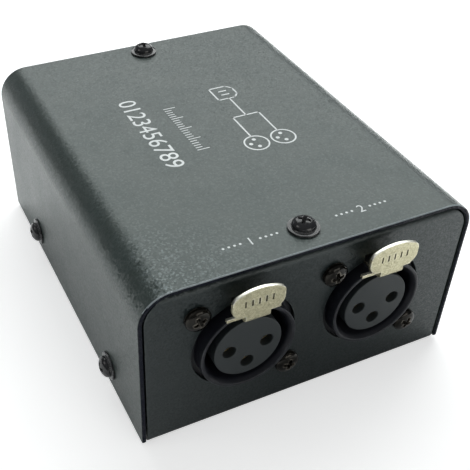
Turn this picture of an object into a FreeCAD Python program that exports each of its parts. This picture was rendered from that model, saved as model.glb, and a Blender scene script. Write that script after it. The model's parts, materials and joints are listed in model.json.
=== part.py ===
import FreeCAD, Part
import math
import os
import re
import Sketcher

# A small sheet metal box that turns a USB signal into two stage lighting outputs.
# Frame: X to the right across the front panel, Y to the rear, Z up, in millimetres.
# The origin is the centre of the underside. The front panel faces -Y.

V = FreeCAD.Vector
doc = FreeCAD.newDocument("UsbDmxInterface")
sheet = doc.addObject("Spreadsheet::Sheet", "Sizes")

# Driving sizes: name, value, meaning.
SIZES = [
    ("cover_width", 80.0, "over the two sides"),
    ("cover_depth", 97.8, "front edge to rear edge"),
    ("cover_sheet", 1.0, "thickness of the cover"),
    ("cover_bend", 7.4, "outer radius of the two long bends"),
    ("cover_lift", 0.9, "lower edge of the sides above the underside"),
    ("cover_gap", 0.4, "between cover and chassis, all round"),
    ("chassis_sheet", 1.2, "thickness of base and panels"),
    ("chassis_bend", 0.5, "inner radius of the chassis bends"),
    ("panel_recess", 0.3, "panels behind the cover's edges"),
    ("top_flange_reach", 12.5, "depth of the flanges that the cover rests on"),
    ("side_flange_height", 12.0, "height of the flanges behind the sides"),
    ("side_flange_setback", 7.0, "panel's inner face to the end of a side flange"),
    ("bend_relief", 0.8, "notch at each end of a side flange"),
    ("screw_inset_front", 6.6, "front top screw from the cover's edge"),
    ("screw_inset_rear", 5.0, "rear top screw from the cover's edge"),
    ("side_screw_height", 7.0, "side screws above the underside"),
    ("side_screw_front", 29.5, "front side screws ahead of the middle"),
    ("side_screw_rear", 24.8, "rear side screws behind the middle"),
    ("socket_spacing", 3.1, "between the two socket flanges"),
    ("roof_room", 2.3, "socket housings below the top flanges"),
    ("ring_wall", 1.5, "ring round the bore"),
    ("ring_reach", 2.4, "ring's rim ahead of the panel"),
    ("ring_clearance", 1.1, "panel hole round the ring"),
    ("mouth_flare", 0.8, "widening of the mouth, on the radius"),
    ("mouth_depth", 1.6, "depth of the flare"),
    ("bore_radius", 9.7, "bore that takes the plug's shell"),
    ("bore_depth", 11.5, "floor of the bore behind the panel's face"),
    ("plug_room", 1.7, "between the bore and the block that holds the contacts"),
    ("insert_recess", 0.4, "insert's face behind the rim"),
    ("housing_length", 18.5, "housing's rear end behind the panel's face"),
    ("flange_side", 29.0, "square flange behind the panel"),
    ("body_step", 1.0, "housing's body inside its flange, at each side"),
    ("housing_below", 14.0, "socket axis above the underside of the body"),
    ("housing_stand", 0.3, "that underside above the board"),
    ("flange_thick", 2.4, "thickness of the flange"),
    ("screw_edge", 3.25, "socket screws inside the flange's edges"),
    ("screw_bite", 8.0, "socket screws into their housing"),
    ("bite_gap", 0.5, "room past a screw's end"),
    ("pin_circle", 4.445, "radius of the circle of contacts"),
    ("contact_recess", 2.0, "contacts behind the insert's face"),
    ("contact_radius", 1.5, "outside of a contact sleeve"),
    ("contact_bore", 1.22, "inside of a contact sleeve"),
    ("contact_bore_depth", 10.0, "depth of that bore"),
    ("contact_gap", 0.05, "sleeve in its cavity, on the radius"),
    ("tail_width", 1.2, "flat solder tail of a contact"),
    ("tail_thick", 0.8, "thickness of that tail"),
    ("tail_gap", 0.1, "tails in the housing's slots"),
    ("tail_upper", 5.5, "upper tails behind the housing"),
    ("tail_lower", 3.5, "lower tail behind the housing"),
    ("tail_below_board", 1.0, "tails below the board"),
    ("latch_sheet", 0.8, "thickness of the latch"),
    ("latch_width", 5.7, "width of the latch's arm and neck"),
    ("latch_reach", 4.9, "tab's front face ahead of the panel"),
    ("latch_rise", 0.7, "underside of the arm above the bore"),
    ("latch_bend", 1.0, "outer radius between neck and arm"),
    ("tab_width", 11.9, "width of the push tab"),
    ("tab_height", 5.0, "height of the push tab"),
    ("tab_gap", 1.1, "lower edge of the tab above the ring"),
    ("tab_top_corner", 1.9, "radius of the tab's upper corners"),
    ("tab_low_corner", 2.6, "radius of the tab's lower corners"),
    ("tab_crown", 11.0, "radius of the tab's crowned upper edge"),
    ("wing_span", 12.4, "across the two stop wings"),
    ("wing_gap", 0.1, "wings ahead of the rim"),
    ("pivot_inset", 2.0, "latch pivot ahead of the housing's rear end"),
    ("pivot_pin_radius", 0.75, "pin that the latch turns on"),
    ("pivot_pin_length", 9.6, "length of that pin"),
    ("pivot_gap", 0.05, "latch on its pin, on the radius"),
    ("pin_seat_gap", 0.02, "pin in the housing's slots, on the radius"),
    ("pin_end_gap", 0.1, "pin's ends in the housing"),
    ("hook_width", 3.8, "width of the hook"),
    ("hook_front", 4.6, "start of the hook's ramp behind the panel's face"),
    ("hook_length", 2.4, "ramp and tip of the hook"),
    ("hook_tip", 0.7, "flat tip of the hook"),
    ("hook_dip", 0.5, "hook below the bore's wall"),
    ("channel_side_gap", 0.3, "channel beside the arm"),
    ("channel_under_gap", 0.1, "channel under the arm"),
    ("spring_room", 3.1, "channel above the arm"),
    ("channel_cover", 1.3, "wall over the channel"),
    ("window_margin", 0.5, "window round the hook"),
    ("notch_margin", 0.5, "panel notch round the lifted arm"),
    ("latch_lift", 1.9, "rise of the arm at the panel, for the notches"),
    ("spring_depth", 9.2, "latch spring behind the panel's face"),
    ("spring_radius", 1.6, "outside of the spring"),
    ("spring_end_gap", 0.05, "spring's ends to arm and roof"),
    ("thread_radius", 1.5, "shanks of all screws"),
    ("thread_gap", 0.05, "shank in what it is screwed into, on the radius"),
    ("shank_clearance", 0.2, "shank in a sheet's hole, on the radius"),
    ("screw_reach", 2.6, "cover screws past their flange"),
    ("dome_radius", 2.6, "head of a cover screw"),
    ("dome_height", 1.9, "height of that head above its washer"),
    ("washer_radius", 3.5, "washer face under a cover screw's head"),
    ("washer_thick", 0.55, "thickness of that washer"),
    ("pan_radius", 2.9, "head of a socket screw"),
    ("pan_height", 1.9, "height of that head"),
    ("hex_head_height", 2.0, "hexagonal heads of the board screws"),
    ("hex_head_radius", 3.1, "those heads, to their corners"),
    ("board_side_gap", 3.4, "circuit board inside the side flanges"),
    ("board_front_gap", 3.0, "board behind the sockets' flanges"),
    ("board_rear_gap", 0.8, "board ahead of the rear panel's inner face"),
    ("board_thick", 1.6, "thickness of the board"),
    ("board_hole_gap", 0.15, "board holes round tails and legs"),
    ("spacer_height", 6.0, "spacers between base and board"),
    ("spacer_end_room", 0.4, "screw's end above the spacer's foot"),
    ("spacer_radius", 3.0, "hexagonal spacers, to their corners"),
    ("spacer_foot", 3.6, "a spacer's hexagonal foot in the base, to its corners"),
    ("spacer_foot_gap", 0.06, "foot in its hole, at the corners"),
    ("spacer_foot_recess", 0.2, "foot's end above the underside"),
    ("spacer_inset", 4.0, "spacers inside the board's sides"),
    ("spacer_rear_inset", 5.1, "spacers ahead of the board's rear edge"),
    ("usb_width", 12.0, "shell of the USB socket"),
    ("usb_height", 11.0, "height of that shell"),
    ("usb_length", 16.4, "length of that shell"),
    ("usb_sheet", 0.35, "thickness of that shell"),
    ("usb_reach", 0.5, "shell past the rear panel"),
    ("usb_clearance", 0.3, "rear panel's opening round the shell"),
    ("usb_mouth_width", 8.45, "opening for the plug"),
    ("usb_mouth_height", 7.78, "height of that opening"),
    ("usb_mouth_bevel", 1.6, "cut corners of that opening"),
    ("usb_mouth_depth", 9.5, "depth of that opening"),
    ("usb_tongue_width", 5.6, "tongue in the opening"),
    ("usb_tongue_height", 3.2, "height of that tongue"),
    ("usb_tongue_recess", 0.8, "tongue's end behind the face"),
    ("usb_blade_width", 1.0, "contact blades on the tongue"),
    ("usb_blade_thick", 0.25, "thickness of those blades"),
    ("usb_blade_spacing", 2.5, "between two blades"),
    ("usb_blade_gap", 0.05, "blades in their slots"),
    ("usb_leg_length", 2.2, "shell legs through the board"),
    ("usb_leg_reach", 1.0, "shell legs below the board"),
    ("usb_leg_setback", 9.0, "shell legs ahead of the face"),
    ("usb_seat_gap", 0.05, "insulator in its shell"),
    ("usb_tail_setback", 1.2, "contact tails ahead of the shell's rear"),
    ("solder_gap", 0.02, "parts above the board"),
    ("chip_side", 10.0, "body of the microcontroller"),
    ("chip_height", 1.4, "height of that body"),
    ("chip_lead", 13.0, "microcontroller ahead of the sixteen lead chip"),
    ("chip_lead_pitch", 1.4, "between its leads"),
    ("chip_stand", 0.1, "chip bodies above their feet"),
    ("lead_width", 0.4, "leads of the chips"),
    ("lead_thick", 0.25, "thickness of the leads"),
    ("lead_reach", 1.0, "leads past the bodies"),
    ("lead_height", 0.7, "leads above the board at the body"),
    ("small_chip_length", 5.0, "body of an eight lead chip"),
    ("small_chip_width", 4.0, "width of that body"),
    ("small_chip_height", 1.5, "height of that body"),
    ("small_lead_pitch", 1.27, "between leads of the small chips"),
    ("bridge_length", 10.2, "body of the sixteen lead chip"),
    ("driver_inset", 24.0, "line drivers behind the board's front edge"),
    ("bridge_inset", 24.6, "sixteen lead chip ahead of the board's rear edge"),
    ("crystal_x", 12.5, "crystal beside the middle"),
    ("crystal_length", 11.0, "crystal's can"),
    ("crystal_width", 4.6, "width of that can"),
    ("crystal_height", 3.5, "height of that can"),
    ("capacitor_x", 15.0, "upright capacitors beside the middle"),
    ("capacitor_inset", 13.6, "upright capacitors ahead of the board's rear edge"),
    ("capacitor_radius", 3.15, "can of an upright capacitor"),
    ("capacitor_height", 7.0, "height of that can"),
    ("regulator_x", 22.0, "voltage regulator beside the middle"),
    ("regulator_inset", 26.6, "voltage regulator ahead of the board's rear edge"),
    ("regulator_length", 6.5, "body of the regulator"),
    ("regulator_width", 3.5, "width of that body"),
    ("regulator_height", 1.6, "height of that body"),
    ("chip_part_length", 2.0, "small resistors and capacitors"),
    ("chip_part_width", 1.25, "width of those"),
    ("chip_part_height", 0.55, "height of those"),
    ("chip_part_spacing", 3.2, "between neighbours in a row"),
    ("resistor_x", 22.0, "resistor row beside the middle"),
    ("resistor_inset", 26.0, "foremost resistor behind the board's front edge"),
    ("ceramic_x", 22.0, "ceramic capacitor row beside the middle"),
    ("ceramic_inset", 22.0, "foremost ceramic capacitor behind the board's front edge"),
    ("cut_overrun", 1.0, "cuts run this far past what they cut"),
    ("match_gap", 0.0001, "points this near count as one"),
]

# Places that follow from the sizes above.
PLACES = {
    "half_width": "cover_width/2",
    "half_depth": "cover_depth/2",
    "inner_width": "half_width - cover_sheet",
    "chassis_half": "inner_width - cover_gap",
    "panel_face": "half_depth - panel_recess",
    "panel_back": "panel_face - chassis_sheet",
    "flange_under": "socket_height + house_top + roof_room",
    "panel_top": "flange_under + chassis_sheet",
    "cover_height": "panel_top + cover_gap + cover_sheet",
    "panel_corner": "cover_bend - cover_sheet - cover_gap",
    "bend_outer": "chassis_bend + chassis_sheet",
    "flange_half": "chassis_half - panel_corner",
    "side_flange_end": "panel_back - side_flange_setback",
    "side_flange_inner": "chassis_half - chassis_sheet",
    "top_front_y": "-half_depth + screw_inset_front",
    "top_rear_y": "half_depth - screw_inset_rear",
    "hole_radius": "thread_radius + shank_clearance",
    "tapped_radius": "thread_radius + thread_gap",
    "socket_x": "(flange_side + socket_spacing)/2",
    "socket_height": "board_top + housing_stand + housing_below",
    "screw_offset": "flange_side/2 - screw_edge",
    "ring_radius": "bore_radius + ring_wall",
    "mouth_radius": "bore_radius + mouth_flare",
    "insert_radius": "bore_radius - plug_room",
    "insert_face": "insert_recess - ring_reach",
    "flange_back": "chassis_sheet + flange_thick",
    "contact_start": "insert_face + contact_recess",
    "latch_level": "bore_radius + latch_rise",
    "latch_top": "latch_level + latch_sheet",
    "tab_level": "ring_radius + tab_gap",
    "tab_back": "latch_sheet - latch_reach",
    "knuckle_radius": "pivot_pin_radius + pivot_gap + latch_sheet",
    "pivot_level": "latch_level + knuckle_radius",
    "pivot_depth": "housing_length - pivot_inset",
    "channel_roof": "latch_top + spring_room",
    "house_top": "channel_roof + channel_cover",
    "channel_half": "latch_width/2 + channel_side_gap",
    "channel_floor": "latch_level - channel_under_gap",
    "notch_top": "latch_top + latch_lift + notch_margin",
    "hook_level": "bore_radius - hook_dip",
    "board_under": "chassis_sheet + spacer_height",
    "board_top": "board_under + board_thick",
    "part_level": "board_top + solder_gap",
    "board_front": "-panel_back + flange_thick + board_front_gap",
    "board_rear": "panel_back - board_rear_gap",
    "board_half": "side_flange_inner - board_side_gap",
    "bridge_y": "board_rear - bridge_inset",
    "chip_y": "bridge_y - chip_lead",
    "spacer_x": "board_half - spacer_inset",
    "spacer_y": "board_rear - spacer_rear_inset",
    "usb_face": "panel_face + usb_reach",
    "usb_back": "usb_face - usb_length",
    "usb_middle": "board_top + usb_height/2",
    "usb_floor": "usb_face - usb_mouth_depth",
}

ALIASES = {name for name, _, _ in SIZES}
WORD = re.compile(r"[a-z][a-z_]*")
BACKWARD = FreeCAD.Rotation(V(1, 0, 0), -90)
FORWARD = FreeCAD.Rotation(V(1, 0, 0), 90)
LEFTWARD = FreeCAD.Rotation(V(0, 1, 0), -90)
RIGHTWARD = FreeCAD.Rotation(V(0, 1, 0), 90)
UPWARD = FreeCAD.Rotation()
parts = []


def fill_sheet():
    """Writes the driving sizes as plain numbers, each with its alias and meaning."""
    for row, (name, value, meaning) in enumerate(SIZES, 1):
        sheet.set(f"A{row}", name)
        sheet.set(f"B{row}", str(value))
        sheet.setAlias(f"B{row}", name)
        sheet.set(f"C{row}", meaning)
    doc.recompute()


def formula(rule):
    """Turns a rule in plain names into an expression on the sheet."""

    def spell(match):
        word = match.group()
        if word in PLACES:
            return "(" + formula(PLACES[word]) + ")"
        return "Sizes." + word if word in ALIASES else word

    return WORD.sub(spell, rule)


def size(rule):
    """The number that a rule gives."""
    found = sheet.evalExpression(formula(rule))
    return float(getattr(found, "Value", found))


def bind(item, **rules):
    """Ties properties of an object to rules."""
    for name, rule in rules.items():
        item.setExpression(name, formula(rule))
    return item


def place(item, x="0", y="0", z="0", turn=UPWARD):
    """Turns an object and ties its place to rules."""
    item.Placement = FreeCAD.Placement(V(), turn)
    for letter, rule in zip("xyz", (x, y, z)):
        item.setExpression(f"Placement.Base.{letter}", formula(rule))
    return item


def keep(item, label):
    """Marks an object as a sub-part whose file has that name."""
    item.Label = label
    parts.append(item)
    return item


# Solids from primitives and booleans.


def box(x, y, z, low=("0", "0", "0")):
    """A block with its lowest corner at low."""
    made = doc.addObject("Part::Box", "Block")
    bind(made, Length=x, Width=y, Height=z)
    return place(made, *low)


def centred_box(x, y, z, middle=("0", "0"), level="0"):
    """A block centred on middle, standing on level."""
    low = (f"{middle[0]} - ({x})/2", f"{middle[1]} - ({y})/2", level)
    return box(x, y, z, low)


def rod(radius, length, at=("0", "0", "0"), turn=UPWARD):
    """A round bar from at, along Z or turned."""
    made = doc.addObject("Part::Cylinder", "Rod")
    bind(made, Radius=radius, Height=length)
    return place(made, *at, turn=turn)


def hexagon(corner, length, at=("0", "0", "0"), turn=UPWARD):
    """A six sided bar from at, along Z or turned."""
    made = doc.addObject("Part::Prism", "Hexagon")
    made.Polygon = 6
    bind(made, Circumradius=corner, Height=length)
    return place(made, *at, turn=turn)


def fuse(*items):
    """Several solids joined into one."""
    made = doc.addObject("Part::MultiFuse", "Joined")
    made.Shapes = list(items)
    made.Refine = True
    return made


def cut(base, *tools):
    """A solid without the tools."""
    made = doc.addObject("Part::Cut", "Cut")
    made.Base = base
    made.Tool = tools[0] if len(tools) == 1 else fuse(*tools)
    return made


def group(*items):
    """Identical pieces that stay separate solids."""
    made = doc.addObject("Part::Compound", "Group")
    made.Links = list(items)
    return made


# Bodies from sketches.


def new_body(label):
    return keep(doc.addObject("PartDesign::Body", "Body"), label)


def sketch(body, role, offset="0"):
    """A sketch on one of the body's own planes, moved along the plane's normal."""
    made = body.newObject("Sketcher::SketchObject", "Sketch")
    plane = next(p for p in body.Origin.OriginFeatures if p.Role == role)
    made.AttachmentSupport = (plane, [""])
    made.MapMode = "FlatFace"
    if offset != "0":
        made.setExpression("AttachmentOffset.Base.z", formula(offset))
    return made


def tie(made, kind, geometry, point, rule):
    """Ties one coordinate of a sketch point to a rule."""
    if rule == "0":
        axis = -2 if kind == "DistanceX" else -1
        made.addConstraint(Sketcher.Constraint("PointOnObject", geometry, point, axis))
        return
    index = made.addConstraint(Sketcher.Constraint(kind, -1, 1, geometry, point, size(rule)))
    made.setExpression(f"Constraints[{index}]", formula(rule))


def arc_between(start, end, radius):
    """The short arc from start to end; a negative radius bows it to the other side."""
    chord = end - start
    side = V(-chord.y, chord.x, 0).normalize() * (1 if radius > 0 else -1)
    rise = math.sqrt(max(radius**2 - (chord.Length / 2) ** 2, 0))
    centre = (start + end) / 2 + side * rise
    angles = [math.atan2(p.y - centre.y, p.x - centre.x) for p in (start, end)]
    if radius < 0:
        angles.reverse()
    return Part.ArcOfCircle(Part.Circle(centre, V(0, 0, 1), abs(radius)), *angles)


def polygon(made, *corners, arcs=None, shut=True):
    """An outline through corners, each a pair of rules; arcs gives the radius of curved sides."""
    arcs = arcs or {}
    first = made.GeometryCount
    spots = [V(size(x), size(y), 0) for x, y in corners]
    count = len(corners) if shut else len(corners) - 1
    starts = []
    for i in range(count):
        ends = spots[i], spots[(i + 1) % len(corners)]
        turned = arcs.get(i, "0").startswith("-")
        if i in arcs:
            made.addGeometry(arc_between(*ends, size(arcs[i])), False)
            rule = made.addConstraint(Sketcher.Constraint("Radius", first + i, abs(size(arcs[i]))))
            made.setExpression(f"Constraints[{rule}]", formula(arcs[i].lstrip("-")))
        else:
            made.addGeometry(Part.LineSegment(*ends), False)
        starts.append((first + i, 2 if turned else 1, 1 if turned else 2))
    for i in range(count if shut else count - 1):
        after = starts[(i + 1) % count]
        made.addConstraint(Sketcher.Constraint("Coincident", starts[i][0], starts[i][2], after[0], after[1]))
    handles = [(geometry, start) for geometry, start, _ in starts]
    if not shut:
        handles.append((starts[-1][0], starts[-1][2]))
    for (geometry, point), (x, y) in zip(handles, corners):
        tie(made, "DistanceX", geometry, point, x)
        tie(made, "DistanceY", geometry, point, y)
    return made


def rectangle(made, x0, y0, x1, y1):
    return polygon(made, (x0, y0), (x1, y0), (x1, y1), (x0, y1))


def hexagon_outline(made, x, y, corner):
    """A six sided outline with two corners beside its middle."""
    rise = f"{corner}*sqrt(3)/2"
    spots = []
    above = ("/2", rise)
    below = ("/2", f"-{rise}")
    for across, up in (("", "0"), above, above, ("", "0"), below, below):
        side = "+" if len(spots) in (0, 1, 5) else "-"
        spots.append((f"{x} {side} {corner}{across}", f"{y} + ({up})"))
    return polygon(made, *spots)


def circle(made, x, y, radius):
    spot = V(size(x), size(y), 0)
    index = made.addGeometry(Part.Circle(spot, V(0, 0, 1), size(radius)), False)
    tie(made, "DistanceX", index, 3, x)
    tie(made, "DistanceY", index, 3, y)
    rule = made.addConstraint(Sketcher.Constraint("Radius", index, size(radius)))
    made.setExpression(f"Constraints[{rule}]", formula(radius))
    return made


def feature(body, kind, made, change, length=None, symmetric=False, flip=False):
    """A pad or pocket that has to add (change 1) or remove (change -1) material."""
    before = body.Shape.Volume if body.Tip else 0
    step = body.newObject("PartDesign::" + kind, kind)
    step.Profile = made
    step.Reversed = flip
    if length is None:
        step.Type = "ThroughAll"
    else:
        bind(step, Length=length)
    if symmetric:
        step.SideType = "Symmetric"
    made.Visibility = False
    doc.recompute()
    if (body.Shape.Volume - before) * change <= 0:
        raise ValueError(f"{body.Label}: a {kind} changes nothing")
    return step


def pad(body, made, length, **how):
    return feature(body, "Pad", made, 1, length, **how)


def pocket(body, made, length=None, **how):
    return feature(body, "Pocket", made, -1, length, **how)


def revolve(body, made, axis, kind="Revolution"):
    """Turns a profile through a full turn about one of its sketch axes."""
    step = body.newObject("PartDesign::" + kind, kind)
    step.Profile = made
    step.ReferenceAxis = (made, [axis])
    step.Angle = 360
    doc.recompute()
    return step


def round_off(body, radius, wanted):
    """Rounds the straight edges whose middle and direction are wanted."""
    last = body.Tip
    names = []
    for number, edge in enumerate(last.Shape.Edges, 1):
        ends = [v.Point for v in edge.Vertexes]
        if len(ends) == 2 and wanted((ends[0] + ends[1]) / 2, (ends[1] - ends[0]).normalize()):
            names.append(f"Edge{number}")
    if not names:
        raise ValueError(f"{body.Label}: no edge to round")
    step = body.newObject("PartDesign::Fillet", "Fillet")
    step.Base = (last, names)
    bind(step, Radius=radius)
    doc.recompute()
    if not step.isValid():
        raise ValueError(f"{body.Label}: rounding fails")
    return step


def along(direction, axis):
    """True if a direction runs along an axis, either way."""
    return direction.cross(axis).Length < size("match_gap")


def close(a, b):
    return abs(a - b) < size("match_gap")


# Fasteners stand on Z = 0 with the shank down, and are then turned and placed.


def screw(radius, height, under, shank, at, turn, washer=False):
    """A round headed screw: head, optional washer face, plain shank."""
    foot = "washer_thick" if washer else "0"
    pieces = [
        rod(radius, height, ("0", "0", foot)),
        rod("thread_radius", f"{under} + {shank}", ("0", "0", f"-({under}) - ({shank})")),
    ]
    if washer:
        pieces.append(rod("washer_radius", "washer_thick"))
    return place(fuse(*pieces), *at, turn=turn)


def cover_screws():
    """Six screws hold the cover, two from above and two from each side, in tapped flanges."""
    under = "cover_sheet + cover_gap + chassis_sheet"
    head = ("dome_radius", "dome_height", under, "screw_reach")
    for name, y in (("front", "top_front_y"), ("rear", "top_rear_y")):
        at = ("0", y, "cover_height")
        keep(screw(*head, at, UPWARD, washer=True), f"top_screw_{name}")
    for side, x, turn in (("left", "-half_width", LEFTWARD), ("right", "half_width", RIGHTWARD)):
        for name, y in (("front", "-side_screw_front"), ("rear", "side_screw_rear")):
            at = (x, y, "side_screw_height")
            keep(screw(*head, at, turn, washer=True), f"side_screw_{side}_{name}")


# Enclosure.


def cover():
    """The lid: one sheet bent over the box at two long, large bends."""
    body = new_body("cover")
    made = sketch(body, "XZ_Plane")
    polygon(
        made,
        ("-half_width", "cover_lift"),
        ("-half_width", "cover_height"),
        ("half_width", "cover_height"),
        ("half_width", "cover_lift"),
        ("inner_width", "cover_lift"),
        ("inner_width", "cover_height - cover_sheet"),
        ("-inner_width", "cover_height - cover_sheet"),
        ("-inner_width", "cover_lift"),
    )
    pad(body, made, "cover_depth", symmetric=True)
    lengthwise = V(0, 1, 0)
    inner = size("cover_height - cover_sheet")
    outer = size("cover_height")
    round_off(body, "cover_bend - cover_sheet", lambda p, d: along(d, lengthwise) and close(p.z, inner))
    round_off(
        body,
        "cover_bend",
        lambda p, d: along(d, lengthwise) and close(p.z, outer) and close(abs(p.x), size("half_width")),
    )
    tops = sketch(body, "XY_Plane", "cover_height")
    for y in ("top_front_y", "top_rear_y"):
        circle(tops, "0", y, "hole_radius")
    pocket(body, tops, "cover_sheet + cut_overrun")
    sides = sketch(body, "YZ_Plane")
    for y in ("-side_screw_front", "side_screw_rear"):
        circle(sides, y, "side_screw_height", "hole_radius")
    pocket(body, sides, symmetric=True)


def chassis():
    """Base, front panel and rear panel bent from one sheet, with flanges for the cover."""
    body = new_body("chassis")
    # The side view is a U with its ends turned inwards; its bends are rounded after.
    made = sketch(body, "YZ_Plane")
    reach = "(panel_face - top_flange_reach)"
    polygon(
        made,
        ("-panel_face", "0"),
        ("panel_face", "0"),
        ("panel_face", "panel_top"),
        (reach, "panel_top"),
        (reach, "flange_under"),
        ("panel_back", "flange_under"),
        ("panel_back", "chassis_sheet"),
        ("-panel_back", "chassis_sheet"),
        ("-panel_back", "flange_under"),
        (f"-{reach}", "flange_under"),
        (f"-{reach}", "panel_top"),
        ("-panel_face", "panel_top"),
    )
    pad(body, made, "2*chassis_half", symmetric=True)
    crosswise = V(1, 0, 0)
    levels = [size("chassis_sheet"), size("flange_under")]
    round_off(
        body,
        "chassis_bend",
        lambda p, d: along(d, crosswise)
        and close(abs(p.y), size("panel_back"))
        and any(close(p.z, level) for level in levels),
    )
    round_off(body, "bend_outer", lambda p, d: along(d, crosswise) and close(abs(p.y), size("panel_face")))
    chassis_corners(body)
    side_flanges(body)
    chassis_holes(body)


def chassis_corners(body):
    """The panels' upper corners follow the cover's bends; the flanges stay between them."""
    made = sketch(body, "XZ_Plane")
    low = "panel_top - panel_corner"
    high = "panel_top + cut_overrun"
    for sign, bow in (("", ""), ("-", "-")):
        polygon(
            made,
            (f"{sign}chassis_half", low),
            (f"{sign}flange_half", "panel_top"),
            (f"{sign}flange_half", high),
            (f"{sign}(chassis_half + cut_overrun)", high),
            (f"{sign}(chassis_half + cut_overrun)", low),
            arcs={0: bow + "panel_corner"},
        )
    pocket(body, made, symmetric=True)
    strips = sketch(body, "XY_Plane", high)
    inner = "(panel_back - top_flange_reach)"
    for sign in ("", "-"):
        for end in ("", "-"):
            rectangle(
                strips,
                f"{sign}flange_half",
                f"{end}{inner}",
                f"{sign}(chassis_half + cut_overrun)",
                f"{end}panel_back",
            )
    pocket(body, strips, "chassis_sheet + 2*chassis_bend + cut_overrun")


def side_flanges(body):
    """Two flanges bent up from the base, with relief notches at their ends."""
    strips = sketch(body, "XY_Plane", "chassis_sheet + cut_overrun")
    inner = "(chassis_half - bend_outer)"
    end = "(side_flange_end + bend_relief)"
    for sign in ("", "-"):
        rectangle(strips, f"{sign}{inner}", f"-{end}", f"{sign}(chassis_half + cut_overrun)", end)
    pocket(body, strips, "chassis_sheet + 2*cut_overrun")
    made = sketch(body, "XZ_Plane")
    for sign, bow, back in (("", "", "-"), ("-", "-", "")):
        polygon(
            made,
            (f"{sign}{inner}", "0"),
            (f"{sign}chassis_half", "bend_outer"),
            (f"{sign}chassis_half", "side_flange_height"),
            (f"{sign}side_flange_inner", "side_flange_height"),
            (f"{sign}side_flange_inner", "bend_outer"),
            (f"{sign}{inner}", "chassis_sheet"),
            arcs={0: bow + "bend_outer", 4: back + "chassis_bend"},
        )
    pad(body, made, "2*side_flange_end", symmetric=True)


def chassis_holes(body):
    sheet_cut = "chassis_sheet + 2*cut_overrun"
    front = sketch(body, "XZ_Plane", "panel_face + cut_overrun")
    notches = sketch(body, "XZ_Plane", "panel_face + cut_overrun")
    half = "(channel_half + notch_margin)"
    for sign in ("-", ""):
        middle = f"{sign}socket_x"
        circle(front, middle, "socket_height", "ring_radius + ring_clearance")
        for dx, dz in (("-", "+"), ("+", "-")):
            circle(front, f"{middle} {dx} screw_offset", f"socket_height {dz} screw_offset", "hole_radius")
        rectangle(
            notches,
            f"{middle} - {half}",
            "socket_height",
            f"{middle} + {half}",
            "socket_height + notch_top",
        )
    pocket(body, front, sheet_cut)
    pocket(body, notches, sheet_cut)
    rear = sketch(body, "XZ_Plane", "-(panel_face + cut_overrun)")
    side = "usb_width/2 + usb_clearance"
    rectangle(
        rear,
        f"-({side})",
        "board_top - usb_clearance",
        side,
        "board_top + usb_height + usb_clearance",
    )
    pocket(body, rear, sheet_cut, flip=True)
    tops = sketch(body, "XY_Plane", "panel_top + cut_overrun")
    for y in ("top_front_y", "top_rear_y"):
        circle(tops, "0", y, "tapped_radius")
    pocket(body, tops, sheet_cut)
    sides = sketch(body, "YZ_Plane")
    for y in ("-side_screw_front", "side_screw_rear"):
        circle(sides, y, "side_screw_height", "tapped_radius")
    pocket(body, sides, symmetric=True)
    feet = sketch(body, "XY_Plane", "chassis_sheet + cut_overrun")
    for x, y in SPACERS:
        hexagon_outline(feet, x, y, "(spacer_foot + spacer_foot_gap)")
    pocket(body, feet, sheet_cut)


# Sockets. In their own frame the depth runs along Y from the panel's face, the axis is at Z = 0.


def at_socket(sign, x="0", depth="0", rise="0"):
    """A place beside, behind and above the point where a socket's axis meets the panel."""
    return (f"{sign}socket_x + ({x})", f"-panel_face + ({depth})", f"socket_height + ({rise})")


def at_depth(depth):
    """Offset of a sketch on the XZ plane that stands at a depth."""
    return f"-({depth})"


def housing(sign, label):
    """Flange and ring on a square body, with the plug's bore, tail slots and the latch's channel."""
    body = new_body(label)
    half = "(flange_side/2)"
    flange = rectangle(sketch(body, "XZ_Plane", at_depth("chassis_sheet")), f"-{half}", f"-{half}", half, half)
    pad(body, flange, "flange_thick", flip=True)
    side = f"({half} - body_step)"
    block = sketch(body, "XZ_Plane", at_depth("flange_back"))
    rectangle(block, f"-{side}", "-housing_below", side, "house_top")
    pad(body, block, "housing_length - flange_back", flip=True)
    ring = circle(sketch(body, "XZ_Plane", "ring_reach"), "0", "0", "ring_radius")
    pad(body, ring, "ring_reach + chassis_sheet", flip=True)
    bore = sketch(body, "YZ_Plane")
    polygon(
        bore,
        ("-(ring_reach + cut_overrun)", "0"),
        ("-(ring_reach + cut_overrun)", "mouth_radius"),
        ("-ring_reach", "mouth_radius"),
        ("mouth_depth - ring_reach", "bore_radius"),
        ("bore_depth", "bore_radius"),
        ("bore_depth", "0"),
    )
    revolve(body, bore, "H_Axis", "Groove")
    slots = sketch(body, "XZ_Plane", at_depth("bore_depth - cut_overrun"))
    for x, z, _ in CONTACTS:
        wide = "(tail_width/2 + tail_gap)"
        high = "(tail_thick/2 + tail_gap)"
        rectangle(slots, f"{x} - {wide}", f"{z} - {high}", f"{x} + {wide}", f"{z} + {high}")
    pocket(body, slots, "housing_length - bore_depth + 2*cut_overrun")
    latch_channel(body)
    holes = sketch(body, "XZ_Plane", at_depth("chassis_sheet - cut_overrun"))
    circle(holes, "-screw_offset", "screw_offset", "tapped_radius")
    circle(holes, "screw_offset", "-screw_offset", "tapped_radius")
    pocket(body, holes, "screw_bite + bite_gap + cut_overrun")
    place(body, *at_socket(sign))


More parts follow.
